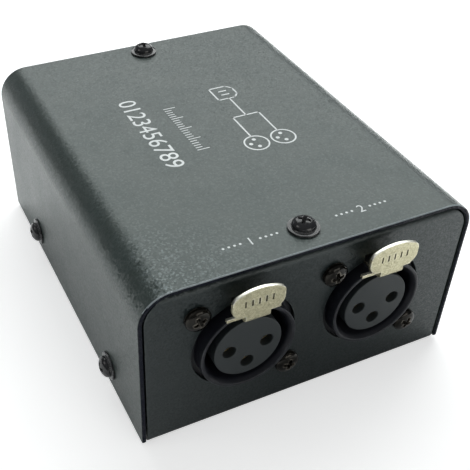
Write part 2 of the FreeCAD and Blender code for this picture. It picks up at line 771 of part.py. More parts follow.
def latch_channel(body):
    """Room for the latch: slot in ring and flange, channel in the body, hook window, pin slots."""
    slot = sketch(body, "XZ_Plane", at_depth("-(ring_reach + cut_overrun)"))
    rectangle(slot, "-channel_half", "channel_floor", "channel_half", "flange_side/2 + cut_overrun")
    pocket(body, slot, "ring_reach + flange_back + cut_overrun")
    channel = sketch(body, "XZ_Plane", at_depth("flange_back - cut_overrun"))
    rectangle(channel, "-channel_half", "channel_floor", "channel_half", "channel_roof")
    pocket(body, channel, "housing_length - flange_back + 2*cut_overrun")
    window = sketch(body, "XY_Plane", "latch_top")
    half = "(hook_width/2 + window_margin)"
    rectangle(
        window,
        f"-{half}",
        "hook_front - window_margin",
        half,
        "hook_front + hook_length + window_margin",
    )
    pocket(body, window, "latch_top - bore_radius + cut_overrun")
    # The pin is pushed in from the rear, so its slots are open there.
    pins = sketch(body, "YZ_Plane")
    room = "(pivot_pin_radius + pin_seat_gap)"
    rectangle(
        pins,
        f"pivot_depth - {room}",
        f"pivot_level - {room}",
        "housing_length + cut_overrun",
        f"pivot_level + {room}",
    )
    pocket(body, pins, "pivot_pin_length + 2*pin_end_gap", symmetric=True)


CONTACTS = (
    ("-pin_circle", "0", "(housing_length + tail_upper)"),
    ("pin_circle", "0", "(housing_length + tail_upper)"),
    ("0", "-pin_circle", "(housing_length + tail_lower)"),
)


def insert(sign, label):
    """The round block on the bore's floor, with a hole for each contact."""
    body = new_body(label)
    front = circle(sketch(body, "XZ_Plane", at_depth("insert_face")), "0", "0", "insert_radius")
    pad(body, front, "bore_depth - insert_face", flip=True)
    holes = sketch(body, "XZ_Plane", at_depth("insert_face - cut_overrun"))
    for x, z, _ in CONTACTS:
        circle(holes, x, z, "contact_radius + contact_gap")
    pocket(body, holes, "bore_depth - insert_face + 2*cut_overrun")
    place(body, *at_socket(sign))


def contact(sign, label, x, z, reach):
    """A sleeve that takes a pin, up to the bore's floor, with a flat tail bent down through the board."""
    body = new_body(label)
    sleeve = circle(sketch(body, "XZ_Plane", at_depth("contact_start")), "0", "0", "contact_radius")
    pad(body, sleeve, "bore_depth - contact_start", flip=True)
    bore = circle(sketch(body, "XZ_Plane", at_depth("contact_start")), "0", "0", "contact_bore")
    pocket(body, bore, "contact_bore_depth")
    tail = sketch(body, "YZ_Plane")
    half = "tail_thick/2"
    foot = f"board_under - tail_below_board - socket_height - ({z})"
    polygon(
        tail,
        ("bore_depth", f"-{half}"),
        (f"{reach} - {half}", f"-{half}"),
        (f"{reach} - {half}", foot),
        (f"{reach} + {half}", foot),
        (f"{reach} + {half}", f"{half}"),
        ("bore_depth", f"{half}"),
    )
    pad(body, tail, "tail_width", symmetric=True)
    place(body, *at_socket(sign, x, "0", z))


def latch(sign, label):
    """Sheet lever: rolled knuckle at the rear, arm with hook and stop wings, push tab in front."""
    body = new_body(label)
    arm = sketch(body, "YZ_Plane")
    polygon(
        arm,
        ("-latch_reach", "latch_level"),
        ("pivot_depth", "latch_level"),
        ("pivot_depth", "latch_top"),
        ("tab_back", "latch_top"),
        ("tab_back", "tab_level + latch_sheet"),
        ("-latch_reach", "tab_level + latch_sheet"),
    )
    pad(body, arm, "latch_width", symmetric=True)
    crosswise = V(1, 0, 0)
    lengthwise = V(0, 1, 0)
    round_off(
        body,
        "latch_bend - latch_sheet",
        lambda p, d: along(d, crosswise) and close(p.y, size("tab_back")) and close(p.z, size("latch_top")),
    )
    round_off(
        body,
        "latch_bend",
        lambda p, d: along(d, crosswise)
        and close(p.y, -size("latch_reach"))
        and close(p.z, size("latch_level")),
    )
    tab = sketch(body, "XZ_Plane", at_depth("-latch_reach"))
    half = "(tab_width/2)"
    polygon(
        tab,
        (f"-{half}", "tab_level"),
        (half, "tab_level"),
        (half, "tab_level + tab_height"),
        (f"-{half}", "tab_level + tab_height"),
        arcs={2: "tab_crown"},
    )
    pad(body, tab, "latch_sheet", flip=True)
    middle = size("tab_level + tab_height/2")
    edge = size("tab_width/2")

    def corner(p, d):
        return along(d, lengthwise) and close(abs(p.x), edge)

    round_off(body, "tab_low_corner", lambda p, d: corner(p, d) and p.z < middle)
    round_off(body, "tab_top_corner", lambda p, d: corner(p, d) and p.z > middle)
    wings = sketch(body, "XZ_Plane", at_depth("-(ring_reach + wing_gap)"))
    rectangle(wings, "-wing_span/2", "latch_level", "wing_span/2", "latch_top")
    pad(body, wings, "latch_sheet")
    hook = sketch(body, "YZ_Plane")
    polygon(
        hook,
        ("hook_front", "latch_level"),
        ("hook_front + hook_length - hook_tip", "hook_level"),
        ("hook_front + hook_length", "hook_level"),
        ("hook_front + hook_length", "latch_top"),
        ("hook_front", "latch_top"),
    )
    pad(body, hook, "hook_width", symmetric=True)
    knuckle = sketch(body, "YZ_Plane")
    circle(knuckle, "pivot_depth", "pivot_level", "knuckle_radius")
    pad(body, knuckle, "latch_width", symmetric=True)
    eye = sketch(body, "YZ_Plane")
    circle(eye, "pivot_depth", "pivot_level", "pivot_pin_radius + pivot_gap")
    pocket(body, eye, symmetric=True)
    place(body, *at_socket(sign))


def spring(sign, label):
    """A plain six sided bar for the coil between the arm and the channel's roof."""
    at = at_socket(sign, "0", "spring_depth", "latch_top + spring_end_gap")
    keep(hexagon("spring_radius", "spring_room - 2*spring_end_gap", at), label)


def sockets():
    for number, sign in (("1", "-"), ("2", "")):
        name = f"socket_{number}_"
        housing(sign, name + "housing")
        insert(sign, name + "insert")
        for count, (x, z, reach) in enumerate(CONTACTS, 1):
            contact(sign, f"{name}contact_{count}", x, z, reach)
        latch(sign, name + "latch")
        at = at_socket(sign, "-pivot_pin_length/2", "pivot_depth", "pivot_level")
        keep(rod("pivot_pin_radius", "pivot_pin_length", at, RIGHTWARD), name + "latch_pin")
        spring(sign, name + "latch_spring")
        for word, x, z in (
            ("upper", "-screw_offset", "screw_offset"),
            ("lower", "screw_offset", "-screw_offset"),
        ):
            at = at_socket(sign, x, "0", z)
            made = screw("pan_radius", "pan_height", "chassis_sheet", "screw_bite", at, FORWARD)
            keep(made, f"{name}screw_{word}")


# Circuit board, its spacers and what it carries.


def board():
    body = new_body("circuit_board")
    made = sketch(body, "XY_Plane", "board_under")
    rectangle(made, "-board_half", "board_front", "board_half", "board_rear")
    pad(body, made, "board_thick")
    holes = sketch(body, "XY_Plane", "board_top")
    for x, y in SPACERS:
        circle(holes, x, y, "hole_radius")
    wide = "(tail_width/2 + board_hole_gap)"
    deep = "(tail_thick/2 + board_hole_gap)"
    for sign in ("-", ""):
        for x, _, reach in CONTACTS:
            middle = (f"{sign}socket_x + ({x})", f"{reach} - panel_face")
            rectangle(
                holes,
                f"{middle[0]} - {wide}",
                f"{middle[1]} - {deep}",
                f"{middle[0]} + {wide}",
                f"{middle[1]} + {deep}",
            )
    half = "usb_leg_length/2 + board_hole_gap"
    middle = "usb_face - usb_leg_setback"
    for sign in ("-", ""):
        rectangle(
            holes,
            f"{sign}(usb_width/2 + board_hole_gap)",
            f"{middle} - {half}",
            f"{sign}(usb_width/2 - usb_sheet - board_hole_gap)",
            f"{middle} + {half}",
        )
        for setback in USB_TAILS:
            rectangle(
                holes,
                f"{sign}(usb_blade_spacing/2 - usb_blade_width/2 - board_hole_gap)",
                f"usb_back - ({setback}) - board_hole_gap",
                f"{sign}(usb_blade_spacing/2 + usb_blade_width/2 + board_hole_gap)",
                f"usb_back - ({setback}) + usb_blade_thick + board_hole_gap",
            )
    pocket(body, holes, "board_thick + cut_overrun")


def spacers():
    """Two hexagonal spacers pressed into the base from below, and the screws in them."""
    posts = []
    screws = []
    foot = "chassis_sheet - spacer_foot_recess"
    shank = "board_thick + spacer_height - spacer_end_room"
    for x, y in SPACERS:
        post = fuse(
            hexagon("spacer_radius", "spacer_height"), hexagon("spacer_foot", foot, ("0", "0", f"-({foot})"))
        )
        bore = rod("thread_radius + thread_gap", "spacer_height + cut_overrun")
        posts.append(place(cut(post, bore), x, y, "chassis_sheet"))
        head = hexagon("hex_head_radius", "hex_head_height")
        made = fuse(head, rod("thread_radius", shank, ("0", "0", f"-({shank})")))
        screws.append(place(made, x, y, "board_top"))
    keep(group(*posts), "spacers")
    keep(group(*screws), "board_screws")


def usb_socket():
    """Square socket for the cable: shell with two legs, insulator with a tongue, four contacts."""
    inner = "(usb_width - 2*usb_sheet)"
    high = "(usb_height - 2*usb_sheet)"
    shell = centred_box("usb_width", "usb_length", "usb_height", ("0", "usb_face - usb_length/2"), "board_top")
    room = "usb_length + 2*cut_overrun"
    hollow = centred_box(inner, room, high, ("0", "usb_face - usb_length/2"), "board_top + usb_sheet")
    pieces = [cut(shell, hollow)]
    leg = "board_thick + usb_leg_reach"
    for sign in ("-", ""):
        at = (f"{sign}(usb_width/2 - usb_sheet/2)", "usb_face - usb_leg_setback")
        pieces.append(
            centred_box("usb_sheet", "usb_leg_length", f"{leg} + usb_sheet", at, f"board_top - {leg}")
        )
    keep(fuse(*pieces), "usb_shell")
    usb_insulator(f"({inner} - 2*usb_seat_gap)", f"({high} - 2*usb_seat_gap)")
    usb_contacts()


def usb_insulator(wide, high):
    body = new_body("usb_insulator")
    half = f"({wide}/2)"
    made = sketch(body, "XZ_Plane", "-usb_face")
    rectangle(made, f"-{half}", f"usb_middle - {high}/2", half, f"usb_middle + {high}/2")
    pad(body, made, "usb_length")
    mouth = sketch(body, "XZ_Plane", "-(usb_face + cut_overrun)")
    side = "(usb_mouth_width/2)"
    rise = "usb_mouth_height/2"
    polygon(
        mouth,
        (f"-{side}", f"usb_middle - {rise}"),
        (side, f"usb_middle - {rise}"),
        (side, f"usb_middle + {rise} - usb_mouth_bevel"),
        (f"{side} - usb_mouth_bevel", f"usb_middle + {rise}"),
        (f"-({side} - usb_mouth_bevel)", f"usb_middle + {rise}"),
        (f"-{side}", f"usb_middle + {rise} - usb_mouth_bevel"),
    )
    pocket(body, mouth, "usb_mouth_depth + cut_overrun", flip=True)
    tongue = sketch(body, "XZ_Plane", "-usb_floor")
    rectangle(
        tongue,
        "-usb_tongue_width/2",
        "usb_middle - usb_tongue_height/2",
        "usb_tongue_width/2",
        "usb_middle + usb_tongue_height/2",
    )
    pad(body, tongue, "usb_mouth_depth - usb_tongue_recess", flip=True)
    slots = sketch(body, "XZ_Plane", "-usb_floor")
    level = "usb_tongue_height/2"
    for sign in ("-", ""):
        for rise in ("-", ""):
            rectangle(
                slots,
                f"{sign}(usb_blade_spacing/2 - usb_blade_width/2 - usb_blade_gap)",
                f"usb_middle {rise or '+'} ({level})",
                f"{sign}(usb_blade_spacing/2 + usb_blade_width/2 + usb_blade_gap)",
                f"usb_middle {rise or '+'} ({level} + usb_blade_thick + usb_blade_gap)",
            )
    pocket(body, slots, "usb_length", flip=True)


def usb_contacts():
    """Blades above and below the tongue, each bent down behind the shell into the board."""
    blades = []
    for rise, setback in zip(("", "-"), USB_TAILS):
        for sign in ("-", ""):
            level = f"(usb_middle {rise or '+'} (usb_tongue_height/2 + usb_blade_thick/2) - usb_blade_thick/2)"
            length = f"usb_length - 2*usb_tongue_recess + ({setback})"
            x = f"{sign}(usb_blade_spacing/2)"
            start = f"usb_back - ({setback})"
            at = (f"{x} - usb_blade_width/2", start, level)
            flat = box("usb_blade_width", length, "usb_blade_thick", at)
            drop = f"{level} - (board_under - usb_leg_reach)"
            low = (f"{x} - usb_blade_width/2", start, "board_under - usb_leg_reach")
            tail = box("usb_blade_width", "usb_blade_thick", f"{drop} + usb_blade_thick", low)
            blades.append(fuse(flat, tail))
    keep(group(*blades), "usb_contacts")


def chip(label, at, long, wide, tall, count, pitch, square=False):
    """A flat chip with sloping leads on two sides, or on all four if square."""
    body = new_body(label)
    made = sketch(body, "XY_Plane", "chip_stand")
    rectangle(made, f"-{long}/2", f"-{wide}/2", f"{long}/2", f"{wide}/2")
    pad(body, made, f"{tall} - chip_stand")
    span = f"({count - 1}*{pitch})"
    sides = [("YZ_Plane", "X_Axis", wide, f"-{span}/2")]
    if square:
        sides.append(("XZ_Plane", "Y_Axis", long, f"{span}/2"))
    for role, axis, across, offset in sides:
        leads = sketch(body, role, offset)
        for sign in ("", "-"):
            edge = f"{across}/2"
            outline = (
                (f"{edge} - lead_thick", "lead_height"),
                (f"{edge} + lead_reach", "lead_thick"),
                (f"{edge} + lead_reach", "0"),
                (f"{edge} - lead_thick", "lead_height - lead_thick"),
            )
            polygon(leads, *((f"{sign}({u})", w) for u, w in outline))
        first = pad(body, leads, "lead_width", symmetric=True)
        pattern = body.newObject("PartDesign::LinearPattern", "Row")
        pattern.Originals = [first]
        pattern.Direction = (next(o for o in body.Origin.OriginFeatures if o.Role == axis), [""])
        bind(pattern, Length=span)
        pattern.Occurrences = count
        body.Tip = pattern
        doc.recompute()
    place(body, *at, "part_level")


def stadium(long, wide, height, level="0"):
    """A block with two half round ends."""
    ends = f"(({long})/2 - ({wide})/2)"
    pieces = [centred_box(f"2*{ends}", wide, height, level=level)]
    for sign in ("-", ""):
        pieces.append(rod(f"({wide})/2", height, (f"{sign}{ends}", "0", level)))
    return fuse(*pieces)


def crystal():
    can = stadium("crystal_length", "crystal_width", "crystal_height")
    keep(place(can, "crystal_x", "chip_y", "part_level"), "crystal")


def capacitor(label, x):
    """An upright can."""
    at = (x, "board_rear - capacitor_inset", "part_level")
    keep(rod("capacitor_radius", "capacitor_height", at), label)


def small_row(label, x, first):
    """Six small flat parts in a row beside the line drivers."""
    made = []
    for i in range(6):
        middle = (x, f"{first} + {i}*chip_part_spacing")
        made.append(
            centred_box("chip_part_width", "chip_part_length", "chip_part_height", middle, "part_level")
        )
    keep(group(*made), label)


def electronics():
    block = ("chip_side", "chip_side", "chip_height")
    chip("microcontroller", ("0", "chip_y"), *block, 6, "chip_lead_pitch", square=True)
    small = ("small_chip_length", "small_chip_width", "small_chip_height")
    for number, sign in (("1", "-"), ("2", "")):
        at = (f"{sign}socket_x", "board_front + driver_inset")
        chip(f"line_driver_{number}", at, *small, 4, "small_lead_pitch")
        capacitor(f"capacitor_{number}", f"{sign}capacitor_x")
    bridge = ("bridge_length", "small_chip_width", "small_chip_height")
    chip("usb_bridge_chip", ("0", "bridge_y"), *bridge, 8, "small_lead_pitch")
    regulator = ("regulator_length", "regulator_width", "regulator_height")
    at = ("-regulator_x", "board_rear - regulator_inset")
    chip("voltage_regulator", at, *regulator, 3, "2*small_lead_pitch")
    crystal()
    small_row("resistors", "resistor_x", "board_front + resistor_inset")
    small_row("ceramic_capacitors", "-ceramic_x", "board_front + ceramic_inset")


def finish():
    """Checks every object, then writes one file for each sub-part."""
    doc.recompute()
    for item in doc.Objects:
        if "Invalid" in item.State or "Error" in item.State:
            raise ValueError(f"{item.Label}: {item.State}")
    os.makedirs("parts", exist_ok=True)
    for item in parts:
        shape = item.Shape
        if shape.isNull() or not shape.isValid() or shape.Volume <= 0:
            raise ValueError(f"{item.Label}: no valid solid")
        shape.exportStep(f"parts/{item.Label}.step")
    print(len(parts), "parts written")


SPACERS = [("-spacer_x", "spacer_y"), ("spacer_x", "spacer_y")]
USB_TAILS = ("2*usb_tail_setback", "usb_tail_setback")

fill_sheet()
cover()
chassis()
cover_screws()
sockets()
board()
spacers()
usb_socket()
electronics()
finish()
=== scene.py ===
import json
import math

import bmesh
import bpy
from mathutils import Euler, Matrix, Vector


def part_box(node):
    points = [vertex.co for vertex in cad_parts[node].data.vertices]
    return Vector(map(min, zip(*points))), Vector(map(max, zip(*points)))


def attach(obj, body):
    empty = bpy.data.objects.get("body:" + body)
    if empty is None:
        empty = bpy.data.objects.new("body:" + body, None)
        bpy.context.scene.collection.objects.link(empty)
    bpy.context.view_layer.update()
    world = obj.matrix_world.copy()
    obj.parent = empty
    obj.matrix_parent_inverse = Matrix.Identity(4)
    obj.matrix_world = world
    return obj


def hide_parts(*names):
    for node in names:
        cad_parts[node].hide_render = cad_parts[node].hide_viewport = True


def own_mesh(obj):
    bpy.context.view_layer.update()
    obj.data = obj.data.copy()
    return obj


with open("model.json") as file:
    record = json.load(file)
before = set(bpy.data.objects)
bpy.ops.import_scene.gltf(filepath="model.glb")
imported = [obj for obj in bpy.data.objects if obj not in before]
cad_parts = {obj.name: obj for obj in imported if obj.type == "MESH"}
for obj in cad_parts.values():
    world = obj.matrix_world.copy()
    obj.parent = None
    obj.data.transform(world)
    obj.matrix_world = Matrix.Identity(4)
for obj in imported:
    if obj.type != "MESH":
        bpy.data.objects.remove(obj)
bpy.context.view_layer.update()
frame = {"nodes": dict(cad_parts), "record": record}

bl_info = {
    "name": "Lighting Interface Box",
    "version": (1, 0, 0),
    "blender": (4, 5, 0),
    "location": "3D View > Sidebar > Box",
    "description": "Dresses a small sheet metal USB interface box and sets its stage",
    "category": "Object",
}

# Lengths are metres in the frame of the box: X right, Y to the rear, Z up, origin under its middle.
MM = 0.001
WELD = 0.001 * MM
# Angle between two faces: merged below the first, smooth below the second, rounded above the third.
FLAT, SMOOTH, CORNER = math.radians(0.5), math.radians(38), math.radians(30)
# How far a face looks along an axis, at least, to get the painted shade or painted highlight on the
# cover's ends, and the painted highlight on a latch.
FACING, LATCH_FACING = 0.5, 0.3
RECORD = frame["record"]
BODY_OF = {node: body for body, nodes in RECORD["behaviour"]["bodies"].items() for node in nodes}
SLOT_OF = {row["node"]: row["material_slot"] for row in RECORD["subparts"]}
SOCKETS = ("socket_1", "socket_2")


def length(name, description, default):
    """A length, given in millimetres."""
    return bpy.props.FloatProperty(
        name=name, description=description, default=default * MM, unit="LENGTH", precision=5
    )


def angle(name, description, default):
    """An angle, given in degrees."""
    turn = math.radians(default)
    return bpy.props.FloatProperty(
        name=name, description=description, default=turn, subtype="ANGLE", unit="ROTATION"
    )


def plain(name, description, default):
    return bpy.props.FloatProperty(name=name, description=description, default=default)


def whole(name, description, default):
    return bpy.props.IntProperty(name=name, description=description, default=default)


def lengths(name, description, *values):
    """Two or three lengths, given in millimetres."""
    place, count = [value * MM for value in values], len(values)
    return bpy.props.FloatVectorProperty(
        name=name, description=description, default=place, size=count, unit="LENGTH", precision=5
    )


def section(kind, name, description):
    return bpy.props.PointerProperty(type=kind, name=name, description=description)


class EdgeSettings(bpy.types.PropertyGroup):
    """Widths of the rounded edges."""

    cover: length("Cover", "Coated edge of the cover", 0.34)
    chassis: length("Chassis", "Coated edge of the chassis", 0.14)
    housing: length("Housing", "Moulded edge of the socket housings", 0.16)
    insert: length("Insert", "Moulded edge of the socket inserts", 0.22)
    latch: length("Latch", "Tumbled edge of the stamped latches", 0.1)
    small: length("Small parts", "Edge of everything inside", 0.04)
    segments: whole("Segments", "Faces across a rounded edge", 3)
    small_segments: whole("Small segments", "Faces across an edge of everything inside", 2)


class ScrewSettings(bpy.types.PropertyGroup):
    """Forms of the cover screws and the socket screws."""

    dome_radius: length("Dome radius", "Head of a cover screw", 2.6)
    dome_height: length("Dome height", "Height of that head above its washer face", 1.9)
    dome_wall: length("Dome wall", "Straight side under the dome", 0.45)
    washer_radius: length("Washer radius", "Washer face of a cover screw", 3.5)
    washer_thick: length("Washer thickness", "Thickness of that washer face", 0.55)
    pan_radius: length("Pan radius", "Head of a socket screw", 2.9)
    pan_height: length("Pan height", "Height of that head", 1.9)
    pan_wall: length("Pan wall", "Straight side of that head", 0.7)
    recess_length: length("Recess length", "Cross recess from end to end", 3.4)
    recess_width: length("Recess width", "Width of its slots", 0.85)
    recess_depth: length("Recess depth", "Depth of the recess", 1.45)
    thread_radius: length("Thread radius", "Outside of the thread", 1.5)
    thread_depth: length("Thread depth", "Depth of the thread", 0.26)
    thread_pitch: length("Thread pitch", "Pitch of the thread", 0.5)
    cover_shank: length("Cover shank", "Length of a cover screw under its washer face", 5.7)
    socket_shank: length("Socket shank", "Length of a socket screw under its head", 9.2)
    soft_edge: length("Soft edge", "Rounding of rims", 0.12)


class SocketSettings(bpy.types.PropertyGroup):
    """Latch and spring details of the two sockets."""

    spring_radius: length("Coil radius", "Coil on the wire's centre line", 1.38)
    spring_wire: length("Wire radius", "Radius of the spring wire", 0.2)
    spring_turns: plain("Turns", "Turns of the coil", 5.0)
    spring_keep: plain("Kept height", "Share of the height that a pressed spring keeps", 0.79)
    mark_height: length("Mark height", "Height of the stamped grip bars", 1.7)
    mark_width: length("Mark width", "Width of a bar", 0.46)
    mark_pitch: length("Mark pitch", "Between two bars", 1.55)
    mark_depth: length("Mark depth", "Depth of the stamping", 0.16)
    mark_drop: length("Mark drop", "Middle of the bars below the tab's upper edge", 3.3)
    mark_count: whole("Marks", "Number of bars", 5)


class PrintSettings(bpy.types.PropertyGroup):
    """White ink on the cover's top. All of it is generic: numbers, ticks and a plain diagram."""

    ink_height: length("Ink height", "Ink above the coat", 0.02)
    ink_sink: length("Ink sink", "Ink below the coat's surface", 0.02)
    line_width: length("Line width", "Lines of the diagram", 0.42)
    digit_height: length("Digit height", "Height of the large digits", 4.7)
    label_height: length("Label height", "Height of the socket numbers", 2.4)


class StageSettings(bpy.types.PropertyGroup):
    """Camera, lamps and floor."""

    lens: bpy.props.FloatProperty(
        name="Lens", description="Focal length", default=62.457, unit="CAMERA"
    )
    shift_x: plain("Shift X", "Sideways shift of the picture", 0.0745)
    shift_y: plain("Shift Y", "Upward shift of the picture", 0.0574)
    aim: lengths("Aim", "Point that the camera looks at", -12.051, -18.758, 20)
    distance: length("Distance", "Camera from that point", 196.172)
    bearing: angle("Bearing", "Turn of the view from straight on", 26.4155)
    height_angle: angle("Height angle", "View from above", 40.8576)
    roll: angle("Roll", "Tilt of the picture", 1.365)
    world_light: plain("World light", "Strength of the even light", 0.26)
    floor_lift: plain("Floor lift", "Light that the camera sees on the floor", 0.55)
    floor_fade: plain("Floor fade", "What is added to it far away", 0.5)
    fade_range: lengths("Fade range", "Distances from the origin, over which it grows", 100, 400)
    # Painted reflection: the floor's colour is raised in reflections only, least in front of the
    # box's middle and most beside it and to its right, standing in for the box's shadow and the lit
    # floor seen in its faces.
    floor_shine: plain("Floor shine", "Added in reflections, beside the box", 1.2)
    shine_middle: length("Shine middle", "Where that light is least", 8)
    shine_start: lengths("Shine start", "Distances from there, over which that light grows", 12, 46)
    shine_far: lengths("Shine far", "Places to the right, over which it grows once more", 60, 120)


class BoxSettings(bpy.types.PropertyGroup):
    """All settings of the dressed box."""

    edges: section(EdgeSettings, "Edges", "Rounded edges")
    screws: section(ScrewSettings, "Screws", "Screw forms")
    sockets: section(SocketSettings, "Sockets", "Socket details")
    ink: section(PrintSettings, "Print", "Ink on the cover")
    stage: section(StageSettings, "Stage", "Camera, lamps, floor")


# Shared shader effects.


def add(tree, kind, links=None, **values):
    """A node with values set and inputs linked; keys of links are input names or numbers."""
    node = tree.nodes.new(kind)
    for key, value in values.items():
        setattr(node, key, value)
    for key, source in (links or {}).items():
        if isinstance(source, bpy.types.NodeSocket):
            tree.links.new(source, node.inputs[key])
        else:
            node.inputs[key].default_value = source
    return node


def maths(tree, operation, *values, clamp=False):
    """A math node's result."""
    links = dict(enumerate(values))
    return add(tree, "ShaderNodeMath", links, operation=operation, use_clamp=clamp).outputs[0]


def times(tree, *values, clamp=False):
    return maths(tree, "MULTIPLY", *values, clamp=clamp)


def vector_maths(tree, operation, *vectors):
    """A vector math node's result."""
    node = add(tree, "ShaderNodeVectorMath", dict(enumerate(vectors)), operation=operation)
    return node.outputs["Value" if operation in ("DISTANCE", "DOT_PRODUCT", "LENGTH") else "Vector"]


def ranged(tree, value, low, high, to_low=0.0, to_high=1.0):
    """A value moved from one range to another, and kept in it."""
    links = {"Value": value, "From Min": low, "From Max": high, "To Min": to_low, "To Max": to_high}
    return add(tree, "ShaderNodeMapRange", links).outputs[0]


def noise(tree, vector, scale, detail=3.0, rough=0.5):
    """Noise around 0.5."""
    links = {"Vector": vector, "Scale": scale, "Detail": detail, "Roughness": rough}
    return add(tree, "ShaderNodeTexNoise", links).outputs["Fac"]


def here(tree):
    """The place on the piece."""
    return add(tree, "ShaderNodeTexCoord").outputs["Object"]


def normal(tree):
    """The surface's normal, and its height."""
    shape = add(tree, "ShaderNodeNewGeometry").outputs["Normal"]
    return shape, add(tree, "ShaderNodeSeparateXYZ", {0: shape}).outputs["Z"]


def socket_kind(vector):
    return "NodeSocketVector" if vector else "NodeSocketFloat"


def new_group(**inputs):
    """An empty shader group with named inputs, and the sockets that give them."""
    group = bpy.data.node_groups.new("Effect", "ShaderNodeTree")
    for key, value in inputs.items():
        label, kind = key.replace("_", " "), socket_kind(isinstance(value, tuple))
        socket = group.interface.new_socket(name=label, in_out="INPUT", socket_type=kind)
        socket.default_value = value
    return group, group.nodes.new("NodeGroupInput").outputs


def put_out(group, **results):
    """Ends a shader group with named outputs."""
    for label, source in results.items():
        kind = socket_kind(source.type == "VECTOR")
        group.interface.new_socket(name=label, in_out="OUTPUT", socket_type=kind)
    add(group, "NodeGroupOutput", results)
    return group


# Coat: the finer peel and the flakes against the peel's scale, and the coarse peel's share.
PEEL_FINER, FLAKE_SCALE, PEEL_SHARE = 3.1, 1.3, 0.75
# Its slow mottle: scale against the peel's, and the noise from dark to light.
MOTTLE_SCALE, MOTTLE_RANGE = 0.05, (0.3, 0.7)
# A second draw from a flake's colour, the power that keeps bright ones rare, the share of them far
# from the place of the painted glints, and how much more flakes lean in that place.
LOTTERY, RARITY, FAR_SHARE, MORE_LEAN = 37.7, 3.0, 0.2, 2.0
# Height of the normal, from faces without painted glints to faces with them: glints are painted
# only on faces that look up.
GLINT_LEVEL = (0.8, 1.0)


def coat_group():
    """Orange peel, slow mottle and a grain of tilted flakes of a powder coat or a moulded skin;
    some flakes are painted bright as glints, most near one place and only on faces that look up.
    """
    glint_spot = dict(Glitter_Place=(-0.035, -0.049, 0.044), Glitter_Reach=0.024)
    group, given = new_group(Scale=900.0, Flecks=0.0, Tilt=0.0, **glint_spot)
    place, scale = here(group), given["Scale"]
    peel = noise(group, place, scale, 2.0)
    finer = noise(group, place, times(group, scale, PEEL_FINER), 1.0)
    height = maths(group, "MULTIPLY_ADD", peel, PEEL_SHARE, times(group, finer, 1 - PEEL_SHARE))
    mottle = noise(group, place, times(group, scale, MOTTLE_SCALE), 4.0, 0.62)
    links = {"Vector": place, "Scale": times(group, scale, FLAKE_SCALE)}
    flake = add(group, "ShaderNodeTexVoronoi", links).outputs["Color"]
    drawn, grain, _ = add(group, "ShaderNodeSeparateColor", {"Color": flake}).outputs
    drawn = maths(group, "FRACT", times(group, drawn, LOTTERY))
    away = vector_maths(group, "DISTANCE", place, given["Glitter Place"])
    near = ranged(group, away, 0.0, given["Glitter Reach"], 1.0, FAR_SHARE)
    shape, upward = normal(group)
    # Painted glints: rare bright flakes, most near the glint place and only on faces that look up.
    bright = times(group, maths(group, "POWER", drawn, RARITY), near)
    bright = times(group, bright, ranged(group, upward, *GLINT_LEVEL))
    lean = vector_maths(group, "SUBTRACT", flake, (0.5, 0.5, 0.5))
    amount = times(group, given["Tilt"], maths(group, "MULTIPLY_ADD", near, MORE_LEAN, 1.0))
    links = {0: lean, "Scale": amount}
    lean = add(group, "ShaderNodeVectorMath", links, operation="SCALE").outputs["Vector"]
    return put_out(
        group,
        Height=height,
        Mottle=ranged(group, mottle, *MOTTLE_RANGE),
        Grain=grain,
        Flecks=times(group, bright, given["Flecks"], clamp=True),
        Normal=vector_maths(group, "NORMALIZE", vector_maths(group, "ADD", shape, lean)),
    )


# Cosine between real and rounded normal, from no wear to full wear, and the noise that breaks it.
WEAR_RANGE, WEAR_PATCHES = (0.998, 0.93), (0.42, 0.62)


def wear_group():
    """A broken mask along convex edges, where a coat is rubbed thin."""
    group, given = new_group(Radius=0.0006, Breakup=400.0)
    soft = add(group, "ShaderNodeBevel", {"Radius": given["Radius"]}, samples=6).outputs[0]
    edge = ranged(group, vector_maths(group, "DOT_PRODUCT", soft, normal(group)[0]), *WEAR_RANGE)
    broken = ranged(group, noise(group, here(group), given["Breakup"], 4.0, 0.7), *WEAR_PATCHES)
    return put_out(group, Mask=times(group, edge, broken, clamp=True))


# Scale of the slow variation in brushed metal, against the scratches' scale.
CLOUD_SCALE = 0.09


def brushed_group():
    """Fine scratches drawn out along one axis, with a slow variation."""
    group, given = new_group(Scale=3000.0, Stretch=(1.0, 0.04, 0.04))
    place, scale = here(group), given["Scale"]
    pulled = vector_maths(group, "MULTIPLY", place, given["Stretch"])
    cloud = noise(group, place, times(group, scale, CLOUD_SCALE), 4.0, 0.65)
    return put_out(group, Scratches=noise(group, pulled, scale), Cloud=cloud)


# Dust: the normal's height from bare to dusty faces, the noise from bare to dusty patches, its
# tone, and the roughness that it adds.
DUST_UPWARD, DUST_PATCHES = (0.5, 1.0), (0.45, 0.75)
DUST_TONE, DUST_ROUGH = (0.3, 0.3, 0.29), 0.5


def dust_group():
    """Dust that lies on what faces up, thicker in patches."""
    group, given = new_group(Amount=0.1, Patches=60.0)
    patch = ranged(group, noise(group, here(group), given["Patches"], 6.0, 0.7), *DUST_PATCHES)
    mask = times(group, ranged(group, normal(group)[1], *DUST_UPWARD), patch)
    return put_out(group, Mask=times(group, mask, given["Amount"], clamp=True))


EFFECTS = {"coat": coat_group, "wear": wear_group, "brushed": brushed_group, "dust": dust_group}


def effect(tree, name, **values):
    """The outputs of a shared effect; its group is made on first use."""
    label = name.title() + " Effect"
    group = bpy.data.node_groups.get(label)
    if group is None:
        group = EFFECTS[name]()
        group.name = label
    links = {key.title(): value for key, value in values.items()}
    return add(tree, "ShaderNodeGroup", links, node_tree=group).outputs


